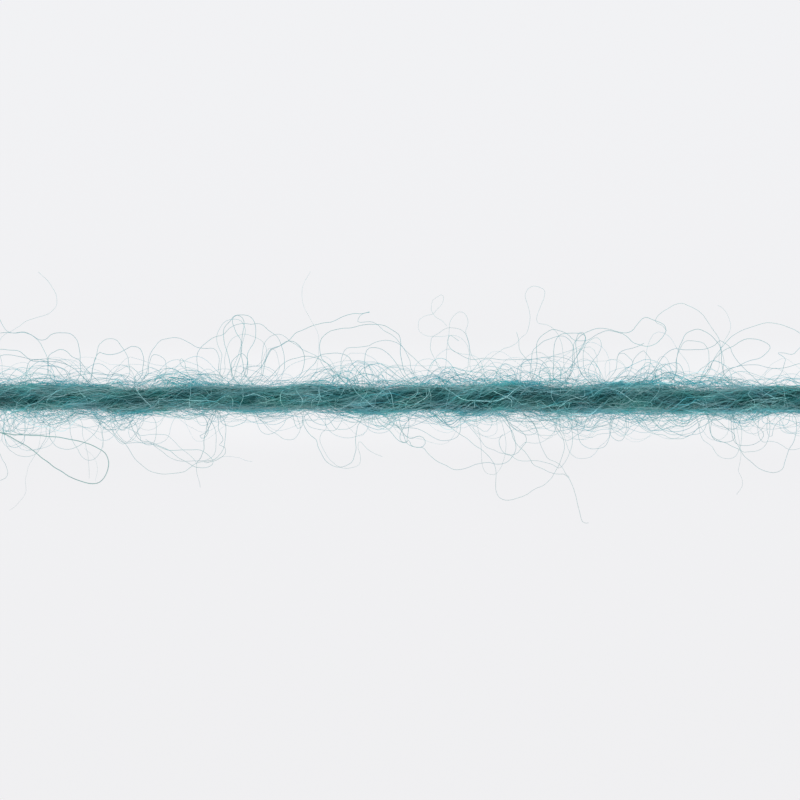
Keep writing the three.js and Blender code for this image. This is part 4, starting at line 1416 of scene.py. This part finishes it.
    Stray((-27.8, -1.8, -26.9, -2.5, -26, -3.5, -25.4, -4.1, -24.8, -4.8, -24.4, -5.5, -23.7, -6.2,
        -23, -6.7, -22.3, -6.9, -21.4, -7, -20.5, -6.9, -19.7, -6.7, -19.1, -6.3, -18.4, -5.9,
        -17.7, -5.8, -17.1, -5.7, -16.6, -5.3, -16.2, -4.6, -16, -3.2, -16.2, -2), 1.8, 0.95),
    Stray((-28, -1.8, -27.2, -2.6, -26.3, -3.4, -25.3, -4.1, -24, -4.1, -23, -4.2, -22.1, -4.5,
        -21.2, -4.8, -19.8, -4.8, -18.4, -4.8, -17.7, -5.2, -17.2, -5.7, -17.2, -6.1, -17.8, -6.4,
        -18.6, -6.4, -19.3, -6.1, -20, -5.7, -20.6, -5.3, -21.2, -4.8, -22.1, -4.4, -22.8, -4.1,
        -23.7, -4, -24.1, -3.6, -24.5, -2.9, -25, -2), 2.4, 1.0),
    Stray((-23.4, -3.8, -22.7, -4.3, -22.3, -4.6, -21.7, -5, -21.1, -5.5, -20.2, -5.8, -19.3, -5.8,
        -18.4, -5.8, -17.6, -5.7, -17, -5.2, -16.9, -4, -17.2, -2.4), 1.4, 0.9),
    Stray((-24.4, -2.2, -23.9, -3.4, -23, -3.4, -22.1, -3.4, -21.3, -3.5, -20.7, -4, -20.1, -4.6,
        -19.3, -5.2, -18.7, -5.9, -18.6, -6.7, -18.4, -7.6, -18.3, -8.2), 3.0, 0.75),
    Stray((-33, -2.2, -32.9, -3.8, -33.2, -4.9, -33.8, -6, -34.1, -7, -34.2, -7.6, -34.2, -8.5,
        -34.5, -9.2, -35.1, -9.9, -35.7, -10.3), 4.2, 0.4),
    Stray((-26.4, -1.8, -25.8, -2.4, -25.1, -2.8, -24.4, -3.1, -23.9, -3.5, -23.8, -4, -23.3, -4.4,
        -22.6, -4.2, -22.4, -3.2, -22.6, -2), 1.3, 0.9),
    Stray((-27.6, -1.7, -27.5, -2.5, -27.4, -3.2, -27.2, -3.9, -27.2, -4.6), 2.4, 0.6),
    Stray((-17.1, -1.6, -17.4, -2.4, -17.7, -3.1, -17.9, -3.5, -18, -4.2, -18, -4.8, -18.3, -5.6,
        -18.7, -6), 1.5, 1.2, 1.0),
    Stray((-17.3, -1.6, -17.7, -2.5, -17.8, -3.2, -18.1, -3.4, -18.4, -3.6, -18.1, -3.8, -17.8, -3.6,
        -17.6, -3, -17.9, -2), 2.0, 1.1, 1.0),
    Stray((-16.7, -1.6, -16.7, -2.3, -16.7, -2.8, -16.4, -3.4, -16.2, -3.7, -16.3, -4, -16.6, -4.3,
        -16.4, -4.4, -16.1, -4.5, -16, -4.8, -16.1, -5.2, -16.4, -5.5, -16.9, -5.8, -17.3, -5.9,
        -18, -5.9), 1.8, 0.9, 1.0),
    Stray((-17.8, -6, -17.2, -5.8, -16.4, -5.5, -15.5, -5.4, -14.7, -5.5, -14.1, -5.8,
        -13.5, -5.9), 3.4, 0.5),
    Stray((-16.6, -1.5, -16.4, -2.3, -15.6, -2.6, -15, -2.5, -14.4, -2.3, -14.1, -2,
        -14.2, -1.5), 1.2, 0.9),
    Stray((-13.1, -1.6, -12.5, -2.4, -12, -3, -11.3, -3.4, -10.7, -3.8, -10.1, -3.9, -9.7, -3.8,
        -9.4, -3.4, -9.2, -2.9, -9.3, -2.3, -9.6, -1.6), 1.2, 0.8),
    Stray((-9.9, -1.5, -9.7, -2.3, -9.4, -2.8, -9, -2.6, -8.9, -1.9), 1.4, 0.9),
    Stray((-9, -1.6, -8.9, -2.4, -8.6, -3, -8.2, -3.5, -7.7, -3.9, -7.5, -4.5, -7.2, -5.1, -6.8, -5.8,
        -6.3, -6.2, -5.6, -6.4, -5, -6.3, -4.4, -5.9, -4.2, -5.4, -4, -4.7, -4.1, -4, -4, -3.2,
        -3.9, -2.6, -3.6, -2.2, -3.4, -1.6), 1.6, 1.05),
    Stray((-6.8, -1.8, -6.8, -2.8, -7.2, -3.2, -7.3, -3.9, -7, -4.7, -6.6, -5.5, -6.2, -5.9, -5.7, -6.3,
        -5.1, -6.5, -4.3, -6.4, -3.7, -6.1, -3.6, -5.3, -3.8, -4.6, -3.7, -4, -3.3, -4.4, -2.9, -4.8,
        -2.2, -5.2, -1.6, -5.4), 2.6, 0.65),
    Stray((-8.5, -1.5, -8.1, -2.1, -7.6, -2.4, -7, -2.6, -6.5, -2.4, -6, -1.9), 1.2, 1.0),
    Stray((-6.6, -1.8, -5.9, -2.8, -5.2, -2.9, -4.6, -2.8, -4, -2.4, -3.7, -1.7), 1.0, 0.8),
    # The tangle below the middle and the strand that runs on from it.
    Stray((-2.3, -1.6, -1.8, -2.4, -1.1, -2.9, -0.6, -3.5, -0.1, -4, 0.5, -4.2, 0.8, -3.9, 1, -4.4,
        1.6, -4.6, 2.1, -4.5, 2.3, -4.1, 2.1, -3.7, 1.7, -3.6, 1.1, -3.8, 0.6, -3.6, 0.3, -3.3,
        -0.2, -2.7, -0.8, -2.2, -1.6, -1.6), 1.4, 1.2, 1.0),
    Stray((-0.2, -1.6, 0, -2.4, 0.2, -3.1, 0.4, -3.7, 0.6, -4.2, 1.2, -4.5, 1.7, -4.6, 2.2, -4.7,
        2.7, -5.3, 3.3, -5.8, 4.1, -6.2, 4.9, -6.6, 5.5, -6.6, 6.3, -6.4, 7.1, -6.1, 8, -6, 8.8, -6.1,
        9.6, -6, 10.1, -5.7, 10.5, -5.1, 10.6, -4.5, 10.5, -3.7, 10.2, -3, 9.8, -2.5,
        9.3, -1.8), 1.7, 1.0),
    Stray((-0.6, -1.6, -0.2, -2.6, 0.2, -2.9, 0.7, -2.8, 1.5, -2.8, 2.2, -3.1, 2.9, -3.6, 3.5, -3.9,
        4.2, -4, 4.9, -3.8, 5.4, -3.4, 5.6, -2.8, 5.6, -1.7), 1.1, 0.9),
    Stray((0.7, -1.7, 0.8, -2.8, 0.7, -3.5, 0.6, -4.1, 0.1, -4, 0, -3.4, 0.4, -2.6,
        0.9, -1.9), 2.2, 1.0, 1.0),
    Stray((3.4, -1.5, 4, -2.1, 4.7, -2.8, 5.4, -3.3, 6.2, -3.8, 6.9, -4.4, 7.5, -4.8, 8.2, -5.4,
        8.6, -6.1, 8.8, -6.9, 8.8, -7.7, 8.8, -8.5, 9.1, -9.1, 9.6, -9.4, 10.1, -9.4, 10.9, -9.2,
        11.6, -8.9, 12.3, -8.4, 13.1, -8.1, 13.7, -7.6, 14.2, -6.9, 14.6, -6.1, 14.9, -5.4, 15.1, -4.6,
        15, -3.8, 14.7, -3.2, 14.3, -2.6, 13.9, -1.8), 1.5, 0.95),
    Stray((5.4, -1.5, 6, -2.2, 6.8, -3.2, 7.4, -3.9, 7.9, -4.5, 8.6, -4.8, 9.3, -5.1, 10, -5.2,
        10.7, -5.7, 11.4, -5.8, 12.3, -5.8, 13.2, -5.9, 14, -6.2, 14.5, -6.5, 14.9, -6.3, 15.4, -5.4,
        15.8, -4, 15.6, -2.2), 2.2, 0.85),
    Stray((7.1, -1.7, 7.1, -2.8, 7.3, -3.5, 7.4, -4.3, 7.5, -5.3, 7.5, -6.1, 7.8, -6.8, 8.3, -7, 8.7, -7,
        9.1, -6.6, 9.4, -6.1, 9.7, -4.8, 9.6, -3.2, 9.2, -2), 2.8, FAINT),
    Stray((9.4, -3.4, 9.1, -3.8, 9.1, -4.2, 9.3, -4.8, 9.7, -5.2, 10.2, -5.3, 10.8, -5.1, 11.1, -4.7,
        11.4, -4.3, 11.6, -4, 11.5, -3.5, 11.1, -3.1, 10.7, -2.7, 10.2, -2.4, 9.5, -1.7), 1.9, 1.0),
    Stray((9.6, -1.6, 10.1, -2.8, 10.5, -3.9, 10.9, -4.5, 11.4, -4.9, 11.9, -5.6, 12.3, -6.2, 13, -6.5,
        13.6, -6.8, 14.4, -7, 15, -7, 15.5, -7.4, 15.8, -8.1, 16.1, -8.9, 16.3, -9.7, 16.5, -10.6,
        16.7, -11.3, 16.9, -11.5, 17.3, -11.5), 2.0, 0.95),
    Stray((9.5, -1.7, 10.3, -2.7, 10.9, -3.1, 11.5, -3.4, 12.1, -3.4, 12.6, -3.2, 12.4, -2.6,
        11.8, -1.9), 1.4, 1.0),
    Stray((11.6, -1.6, 12.2, -2.3, 12.6, -3, 12.7, -3.7, 12.9, -4.4, 13.2, -5, 13.6, -5.6, 14.3, -5.9,
        14.8, -6.3, 15.1, -6.9, 15.5, -7.3), 2.6, 0.8),
    Stray((11, -4.5, 11.5, -4.1, 12.3, -4.2, 13, -4.1, 13.5, -3.8, 14, -3.3, 14.3, -2.8,
        14.6, -1.8), 2.8, 0.7),
    Stray((16, -1.8, 16.3, -3.1, 16.4, -3.8, 16.7, -4.3, 17.2, -4.6, 17.8, -4.7, 18.6, -4.6, 19, -4.2,
        19.3, -3.5, 19.4, -2.8, 19.3, -1.9), 1.3, 0.9),
    Stray((14.7, -1.7, 14.7, -2.8, 15, -3.2, 15.4, -3.3, 15.7, -3, 15.8, -2.4, 15.6, -1.7), 1.6, 0.9),
    # The arcs and loops below, towards the +X end.
    Stray((21.6, -1.6, 22, -2.5, 22.5, -3, 23.3, -3.3, 24.2, -3.4, 24.7, -3.7, 25.4, -3.8, 26.1, -3.7,
        26.7, -3.4, 27.4, -3.3, 27.9, -3, 28.3, -2.1), 1.0, 0.9),
    Stray((22.8, -1.6, 23.5, -2.4, 24, -2.9, 24.7, -3.3, 25.6, -3.4, 26.3, -3.4, 27, -3.1, 27.4, -2.7,
        27.7, -1.8), 1.4, 0.9),
    Stray((27.2, -1.7, 27.5, -3.2, 27.8, -3.9, 28.2, -4.2, 28.7, -4.6, 29.1, -5.2, 29.6, -5.5, 30.3, -5.6,
        30.8, -5.4, 31.1, -4.8, 31.3, -4, 31.2, -2.4), 1.8, 0.7),
    Stray((28.2, -1.7, 28.5, -3, 28.7, -3.6, 29.3, -4, 29.9, -4.2, 30.5, -4.5, 31.2, -4.8, 31.6, -5.4,
        32.2, -5.9, 32.9, -6.5, 33.7, -6.8, 34.4, -6.9, 35.1, -6.6, 35.3, -6, 35.5, -5.4, 35.7, -4.7,
        36.1, -4.1, 36.3, -3.4, 36.4, -2.6, 36.2, -1.7), 1.5, 1.05),
    Stray((30.5, -1.6, 30.9, -3, 31, -3.7, 31.1, -4.5, 31.2, -5.3, 31.1, -6, 31, -6.7, 31.3, -7.3,
        31.4, -8, 31.1, -8.5, 30.8, -8.9), 2.8, 0.6),
    Stray((30.5, -1.8, 30.5, -3.4, 30.9, -4.3, 31.6, -4.4, 32.4, -4.3, 33, -4, 33.4, -3.5, 33.2, -3,
        32.8, -2.6, 32.2, -1.8), 1.1, 0.9),
    Stray((30.6, -1.7, 30.7, -3.6, 31.3, -4.9, 32, -5, 32.7, -4.9, 33.3, -4.6, 33.7, -4, 33.9, -3.3,
        33.9, -2.5, 33.8, -1.7), 2.0, 0.8),
    Stray((33, -1.8, 32.9, -3.4, 33.3, -4.1, 34, -4, 34.7, -4.2, 35.2, -4.5, 35.7, -4.8, 36.2, -4.8,
        36.8, -4.6, 37.5, -4.2, 37.9, -3.4, 37.6, -2), 1.7, 0.85),
    Stray((33.8, -1.7, 33.7, -3.2, 34.1, -3.6, 34.3, -2.8, 34.8, -2.2, 35.4, -1.8), 1.3, 0.8),
    Stray((28.8, -1.7, 28.5, -3, 28.8, -3.8, 29.6, -4.1, 30.4, -4, 30.8, -3.6, 30.5, -3.2, 29.9, -2.8,
        29, -2), 1.2, 0.95),
    # Pale ones that lie across the yarn, painted pale as painted light on fibres lit over it.
    Stray((-35.2, -0.69, -34.8, -0.23, -34.4, 0.05, -33.9, 0.32), 1.2, 0.79, PALE),
    Stray((-32.4, -0.87, -32.4, -0.41, -32.1, 0.05, -31.6, 0.51, -31.3, 0.69), 1.2, 0.79, PALE),
    Stray((-29.5, 0.97, -29.4, 0.6, -29.2, 0.23, -28.7, -0.14), 1.2, 0.79, PALE),
    Stray((-36.2, 0.51, -35.8, 0.78, -35.2, 0.97, -34.6, 0.87, -34.1, 0.6), 1.2, 0.79, PALE),
    Stray((-24.1, 0.6, -23.8, 0.23, -23.5, -0.14, -23.2, -0.41, -22.8, -0.78), 1.2, 1, PALE),
    Stray((-19.2, 1.52, -19.2, 0.87, -19.2, 0.23, -19.3, -0.32), 1.2, 0.79, PALE),
    Stray((-18, -1.24, -17.6, -0.87, -17, -0.51, -16.6, -0.23, -16.1, 0.05, -15.7, 0.14, -15.4, -0.05,
        -15.3, -0.41, -15.4, -0.87, -15.5, -1.33), 1.2, 1, PALE),
    Stray((-14.4, 0.05, -14.5, -0.32, -14.7, -0.78, -14.9, -1.24), 1.2, 0.79, PALE),
    Stray((-14.4, 0.14, -13.8, 0.23, -13.3, 0.32, -12.9, 0.14, -12.3, -0.05), 1.2, 0.79, PALE),
    Stray((-10, 0.87, -10.6, 0.69, -10.9, 0.41, -11, 0.05, -10.9, -0.41, -10.7, -0.69,
        -10.3, -1.06), 1.2, 0.94, PALE),
    Stray((-9.5, 0.6, -9.2, 0.23, -8.9, -0.23, -9, -0.6, -9.3, -1.06), 1.2, 0.94, PALE),
    Stray((-8.1, -0.32, -7.7, -0.05, -7.4, 0.23), 1.2, 0.79, PALE),
    Stray((-7.5, 0.51, -7.3, 0.05, -7.5, -0.51, -7.6, -1.06), 1.2, 0.79, PALE),
    Stray((-6.5, -0.41, -6.3, -0.78, -5.9, -1.06, -5.4, -1.06, -5, -0.69), 1.2, 0.79, PALE),
    Stray((-5.1, 0.78, -5.3, 0.41, -5.6, -0.05, -5.9, -0.32), 1.2, 0.68, PALE),
    Stray((-4.4, 1.06, -4, 0.51, -3.6, 0.05, -3.1, -0.32, -2.7, -0.69, -2.1, -0.97, -1.4, -1.06,
        -0.6, -0.97), 1.2, 0.79, PALE),
    Stray((-3.6, -0.32, -3.3, 0.05, -3.1, 0.41, -3, 0.78), 1.2, 0.79, PALE),
    Stray((-1.5, 1.24, -1.1, 0.78, -0.8, 0.23, -0.7, -0.23, -0.6, -0.69, -0.6, -1.33), 1.2, 0.94, PALE),
    Stray((0.2, -1.06, 0.8, -0.78, 1.5, -0.51, 2, -0.23, 2.5, 0.14, 2.7, 0.6), 1.2, 0.79, PALE),
    Stray((-0.1, -0.32, 0.4, -0.51, 0.8, -0.78, 1.2, -1.15), 1.2, 0.79, PALE),
    Stray((0.5, -0.69, 0.8, -0.32, 1.3, 0.05, 1.6, 0.41), 1.2, 0.79, PALE),
    Stray((0.9, -0.97, 1.5, -0.6, 1.9, -0.32, 2.4, 0.05), 1.2, 0.79, PALE),
    Stray((2.6, 0.78, 2.8, 0.32, 2.8, -0.23, 2.8, -0.97), 1.2, 0.79, PALE),
    Stray((4.6, 0.69, 4.5, 0.14, 4.3, -0.41, 4.2, -0.87, 3.9, -1.15), 1.2, 0.79, PALE),
    Stray((3.7, 1.33, 4.2, 0.87, 4.8, 0.45, 5.3, 0.07, 5.9, -0.17, 6.5, -0.27, 7.2, -0.29, 7.9, -0.33,
        8.6, -0.34, 9.2, -0.21, 9.8, 0.08, 10.3, 0.49, 10.8, 0.87, 11.2, 1.24), 1.2, 1.2, PALE),
    Stray((8.6, 0.6, 9.1, 0.32, 9.7, 0.05, 10.2, -0.32), 1.2, 0.86, PALE),
    Stray((5.8, 0.41, 6.3, 0.69, 6.8, 0.69, 7.4, 0.51), 1.2, 0.68, PALE),
    Stray((5.9, -1.06, 6.3, -0.69, 6.8, -0.32), 1.2, 0.79, PALE),
    Stray((10.5, 1.43, 11, 1.06, 11.6, 0.78, 12.1, 0.6, 13, 0.51, 13.9, 0.51, 14.8, 0.6, 15.8, 0.6,
        16.6, 0.69, 17.3, 1.06), 1.2, 0.86, PALE),
    Stray((13.9, 0.6, 13.9, 0.05, 14.1, -0.41, 14.4, -0.78, 14.8, -0.78, 15.2, -0.41, 15.5, -0.14,
        15.9, -0.05, 16.4, 0.05, 16.9, 0.14), 1.2, 0.79, PALE),
    Stray((14.2, -1.43, 14.5, -0.97, 15, -0.6, 15.5, -0.23), 1.2, 0.86, PALE),
    Stray((12.6, -0.23, 13, -0.41, 13.3, -0.78), 1.2, 0.68, PALE),
    Stray((17.6, 0.14, 18, 0.51, 18.6, 0.78, 19.1, 0.87, 19.8, 0.69, 20.3, 0.41, 20.8, 0.05, 21.3, -0.32,
        21.8, -0.41, 22.4, -0.41, 23, -0.51), 1.2, 0.86, PALE),
    Stray((22.4, -0.69, 22.9, -0.41, 23.3, 0.05, 23.6, 0.41, 23.8, 0.87), 1.2, 0.79, PALE),
    Stray((20.6, 0.6, 21.1, 0.97, 21.5, 1.24), 1.2, 0.68, PALE),
    Stray((21.8, 0.6, 22.2, 0.97, 22.5, 1.24), 1.2, 0.68, PALE),
    Stray((27, -0.14, 27.6, -0.51, 28.1, -0.78, 28.4, -1.15, 28.7, -1.52), 1.2, 0.79, PALE),
    Stray((27.8, -0.05, 28.1, -0.51, 28.1, -0.97, 28.2, -1.43), 1.2, 0.68, PALE),
    Stray((32, 1.43, 32.2, 0.97, 32.1, 0.6, 31.9, 0.23, 32.2, -0.05, 32.5, -0.41), 1.2, 0.94, PALE),
    Stray((32.2, -0.23, 32.9, -0.14, 33.7, -0.14, 34.4, -0.05, 35.2, -0.05), 1.2, 0.86, PALE),
    Stray((33.2, 0.14, 33.7, 0.41, 34.1, 0.69, 34.5, 0.97), 1.2, 0.79, PALE),
    Stray((35.2, 1.06, 35.2, 0.41, 35.3, -0.23, 35.5, -0.78), 1.2, 0.79, PALE),
    Stray((32.8, -0.78, 33.2, -0.87, 33.6, -1.06, 33.8, -1.33, 33.4, -1.61, 32.8, -1.7), 1.2, 0.79, PALE),
    Stray((-22.1, -0.14, -21.4, -0.32, -20.9, -0.51, -20.4, -0.41), 1.2, 0.68, PALE),
    Stray((-20.7, -0.87, -20, -0.6, -19.3, -0.41), 1.2, 0.68, PALE),
    Stray((-17.3, 0.14, -17.7, 0.51, -17.9, 0.78, -18.1, 1.24), 1.2, 0.68, PALE),
    Stray((16.2, 1.15, 15.7, 0.78, 15.2, 0.41, 14.7, 0.23), 1.2, 0.68, PALE),
)


@dataclass
class Yarn:
    """The whole strand."""

    lay: Lay
    fibre_radius: float = 0.018 * MM
    bends: int = 41  # how many points the cord's path has

    def build(self) -> None:
        # The plies' bodies are painted far darker than their fibres, as painted shade inside the yarn.
        body = WoolFinish("ply_body", tones=((0.013, 0.055, 0.058), (0.07, 0.25, 0.26)), side_light=0.9)
        fibres = WoolFinish(
            "ply_fibres",
            tones=((0.028, 0.131, 0.135), (0.213, 0.61, 0.625), (0.31, 0.79, 0.82)),
            patch_amount=0.2,
            side_light=0.8,
        )
        loose = WoolFinish(
            "loose_fibres",
            # The first tone, which fibres over the crown mostly take, is painted shade like the core's; the
            # fourth is painted light, for glints and lit fibres.
            tones=(
                (0.10, 0.32, 0.33),
                (0.285, 0.47, 0.49),
                (0.075, 0.43, 0.50),
                (0.49, 0.95, 0.98),
                (0.23, 0.425, 0.415),
            ),
            patch_amount=0.1,
        )
        strand = self.plies(body.build())
        wool, loose_wool = fibres.build(), loose.build()
        strays = add_piece("strays", Strays(self.lay, STRAYS).grow(loose_wool), Finish.LOOSE_WOOL)
        on_yarn = [*self.ply_fibres(wool), self.grown(self.felt(), wool, Finish.WOOL)]
        on_yarn += [self.grown(maker, loose_wool, Finish.LOOSE_WOOL) for maker in self.loose_fibres()]
        on_yarn.append(strays)
        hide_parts(*[f"ply_{i + 1}" for i in range(PLIES)])
        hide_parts(*[f"loose_fibres_{i + 1}" for i in range(PLIES)])
        line = self.lay.centreline(self.bends)
        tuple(line[0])

    def plies(self, material: bpy.types.Material) -> bpy.types.Object:
        """Returns the three plies' bodies as one piece."""
        tree = PlyBody(self.lay).tree()
        parts = [tree.grow(f"ply_{i}", ply=i, material=material) for i in range(PLIES)]
        return add_piece("plies", joined(parts), Finish.WOOL)

    def ply_fibres(self, material: bpy.types.Material) -> list[bpy.types.Object]:
        """Returns one piece of fibres for each ply."""
        maker = PlyFibres(self.lay)
        tree = maker.tree()
        pieces = []
        for i in range(PLIES):
            name, sizes = f"ply_{i + 1}_fibres", {"count": maker.count, "radius": self.fibre_radius}
            mesh = tree.grow(name, ply=i, seed=2 + i, material=material, **sizes)
            pieces.append(add_piece(name, mesh, Finish.WOOL))
        return pieces

    def grown(self, maker: LooseFibres, material: bpy.types.Material, finish: Finish) -> bpy.types.Object:
        """Returns a piece of fibres.

        Args:
            maker: What the fibres are like.
            material: Their material.
            finish: The record's material slot.

        Returns:
            The piece.
        """
        sizes = {"count": maker.count, "seed": maker.seed, "radius": maker.radius}
        mesh = maker.tree().grow(maker.name, material=material, **sizes)
        return add_piece(maker.name, mesh, finish)

    def felt(self) -> LooseFibres:
        """Returns the short fibres that lie on the plies in every direction."""
        return LooseFibres(
            self.lay, "surface_fuzz", seed=12, count=2350, points=11, length=(1.0 * MM, 3.6 * MM),
            rise=(0.0, 0.5), bend=0.8, slant=1.2, root=0.49 * MM, reach=2.0, on_ply=True, veer=3.4,
            lift=0.28 * MM, radius=0.016 * MM, tufts=0.0, shades=(0.0, 0.9), worn=True,
        )

    def loose_fibres(self) -> list[LooseFibres]:
        """Returns the loose fibres, from the closest to the longest, and last those that cross the yarn."""
        fuzz = LooseFibres(
            self.lay, "close_fuzz", seed=11, count=1240, points=16, length=(2 * MM, 6.5 * MM),
            rise=(0.05, 0.9), bend=0.7, slant=0.9, root=0.50 * MM, reach=1.9, on_ply=True,
        )
        wraps = LooseFibres(
            self.lay, "wrapping_fuzz", seed=14, count=510, points=16, length=(3 * MM, 8 * MM),
            rise=(0.05, 0.7), bend=0.6, slant=0.8, root=1.0 * MM, reach=1.3, veer=1.0, lift=1.0 * MM,
            tufts=0.15, lean=0.15,
        )
        arches = LooseFibres(
            self.lay, "arches", seed=15, count=430, points=22, length=(2.2 * MM, 8 * MM),
            rise=(0.5, 2.5), bend=1.0, slant=0.8, root=1.0 * MM, reach=1.1, radius=0.016 * MM,
            tufts=0.15, lean=0.12, glint_share=0.0,
        )
        faint = LooseFibres(
            self.lay, "faint_arches", seed=18, count=210, points=21, length=(3 * MM, 11 * MM),
            rise=(0.5, 2.2), bend=0.9, slant=0.8, root=1.0 * MM, reach=1.1, lift=0.8 * MM,
            radius=0.0115 * MM, tufts=0.1, lean=0.3, crimp=0.1, glint_share=0.0,
        )
        crossing = LooseFibres(
            self.lay, "crossing_fibres", seed=17, count=440, points=13, length=(1.5 * MM, 5 * MM),
            rise=(0.0, 0.2), bend=0.3, slant=1.5, root=1.14 * MM, reach=1.57, radius=0.015 * MM,
            tufts=0.0, rare=1.0, hugs=True,
        )
        return [fuzz, wraps, arches, faint, crossing]


def joined(meshes: list[bpy.types.Mesh]) -> bpy.types.Mesh:
    """Joins meshes of one material into the first.

    Args:
        meshes: The meshes.

    Returns:
        The joined mesh.
    """
    objects = [bpy.data.objects.new(mesh.name, mesh) for mesh in meshes]
    for made in objects:
        bpy.context.scene.collection.objects.link(made)
    with bpy.context.temp_override(active_object=objects[0], selected_editable_objects=objects):
        bpy.ops.object.join()
    mesh = objects[0].data
    bpy.data.objects.remove(objects[0])
    return mesh


@dataclass(frozen=True)
class Studio:
    """The plain surface, the soft light and the camera."""

    view_width: float = FRAME_PIXELS * PIXEL
    distance: float = 0.6
    sensor: float = 36.0
    drop: float = 2.5 * PIXEL  # how far to the -Y side of the X axis the camera stands
    half: float = 1.5  # half the surface's width
    level: float = -0.02 * MM  # the surface's height
    tint: tuple[float, float, float] = (0.08, 0.08, 0.081)
    near_cast: tuple[float, float, float] = (0.872, 0.870, 0.884)  # its glow at the picture's lower edge
    far_cast: tuple[float, float, float] = (0.886, 0.888, 0.907)  # its glow at the upper edge
    cast_reach: float = 30 * MM
    strength: float = 0.89
    near_glow: float = 0.06  # how much brighter the surface's painted glow is close to the yarn
    near_glow_width: tuple[float, float] = (1.8 * MM, 6.0 * MM)  # where that starts and stops fading
    yarn_half: float = 39 * MM
    sky: tuple[float, float, float] = (0.98, 0.99, 1.0)
    sky_strength: float = 1.2
    lamp_size: tuple[float, float] = (0.8, 0.16)
    lamp_place: tuple[float, float] = (0.5, 0.1)  # how far to the side a lamp stands, and how high
    lamp_lean: float = 79  # how far a lamp is turned from facing down, in degrees
    lamp_power: float = 3.5

    def build(self) -> None:
        """Sets up the surface, the light and the camera."""
        scene = bpy.context.scene
        scene.view_settings.view_transform = "Standard"
        self.camera(scene)
        self.surface()
        self.light(scene)

    def camera(self, scene: bpy.types.Scene) -> None:
        """Looks straight down on the middle of the strand, as the photograph does."""
        data = bpy.data.cameras.new("camera")
        data.sensor_width = self.sensor
        data.lens = self.sensor * self.distance / self.view_width
        data.clip_start = 0.01
        made = bpy.data.objects.new("camera", data)
        made.location = (0, -self.drop, self.distance)
        scene.collection.objects.link(made)
        scene.camera = made

    def surface(self) -> None:
        """Lays a pale, glowing surface under the yarn, with painted light a little brighter close to it."""
        mesh = bpy.data.meshes.new("surface")
        sides = ((-1, -1), (1, -1), (1, 1), (-1, 1))
        corners = [(x * self.half, y * self.half, self.level) for x, y in sides]
        mesh.from_pydata(corners, [], [(0, 1, 2, 3)])
        material = bpy.data.materials.new("pale_surface")
        material.use_nodes = True
        tree = Nodes(material.node_tree)
        shader = tree.group.nodes["Principled BSDF"]
        shader.inputs["Base Color"].default_value = (*self.tint, 1)
        shader.inputs["Roughness"].default_value = 0.9
        shader.inputs["Specular IOR Level"].default_value = 0.0
        x, y, _ = tree.split(tree.node("ShaderNodeTexCoord").outputs["Object"])
        cast = tree.node("ShaderNodeMix", data_type="RGBA")
        share = tree.mapped(y, (-self.cast_reach, self.cast_reach), (0.0, 1.0), "LINEAR")
        for socket, value in ((0, share), (6, (*self.near_cast, 1)), (7, (*self.far_cast, 1))):
            tree.feed(cast.inputs[socket], value)
        tree.feed(shader.inputs["Emission Color"], cast.outputs[2])
        tree.feed(shader.inputs["Emission Strength"], self.brightness(tree, x, y))
        mesh.materials.append(material)
        made = bpy.data.objects.new("surface", mesh)
        bpy.context.scene.collection.objects.link(made)

    def brightness(self, tree: Nodes, x: Field, y: Field) -> Field:
        """Works out how brightly the surface glows, with painted light a little brighter close to the yarn.

        Args:
            tree: The surface material's tree.
            x: The place along the yarn.
            y: The place to the side.

        Returns:
            The emission strength.
        """
        reach = 100 * MM
        past = tree.mapped(tree.size(x), (self.yarn_half, self.yarn_half + reach), (0.0, reach), "LINEAR")
        distance = tree.node("ShaderNodeVectorMath", {"Vector": tree.vector(past, y)}, operation="LENGTH")
        levels = (self.strength * (1 + self.near_glow), self.strength)
        return tree.mapped(Field(tree, distance.outputs["Value"]), self.near_glow_width, levels, "SMOOTHSTEP")

    def light(self, scene: bpy.types.Scene) -> None:
        """Lights the yarn softly and evenly from all sides."""
        world = bpy.data.worlds.new("daylight")
        world.use_nodes = True
        background = world.node_tree.nodes["Background"]
        background.inputs["Color"].default_value = (*self.sky, 1)
        background.inputs["Strength"].default_value = self.sky_strength
        scene.world = world
        aside, high = self.lamp_place
        for side in (-1, 1):
            lamp = bpy.data.lights.new("softbox", "AREA")
            lamp.shape = "RECTANGLE"
            lamp.size, lamp.size_y = self.lamp_size
            lamp.energy = self.lamp_power
            made = bpy.data.objects.new("softbox", lamp)
            made.location = (0, side * aside, high)
            made.rotation_euler = (side * math.radians(self.lamp_lean), 0, 0)
            scene.collection.objects.link(made)


def main() -> None:
    """Builds the studio and the yarn, and reports each piece."""
    logging.basicConfig(level=logging.INFO, format="%(message)s")
    Studio().build()
    Yarn(Lay()).build()


if __name__ == "__main__":
    main()
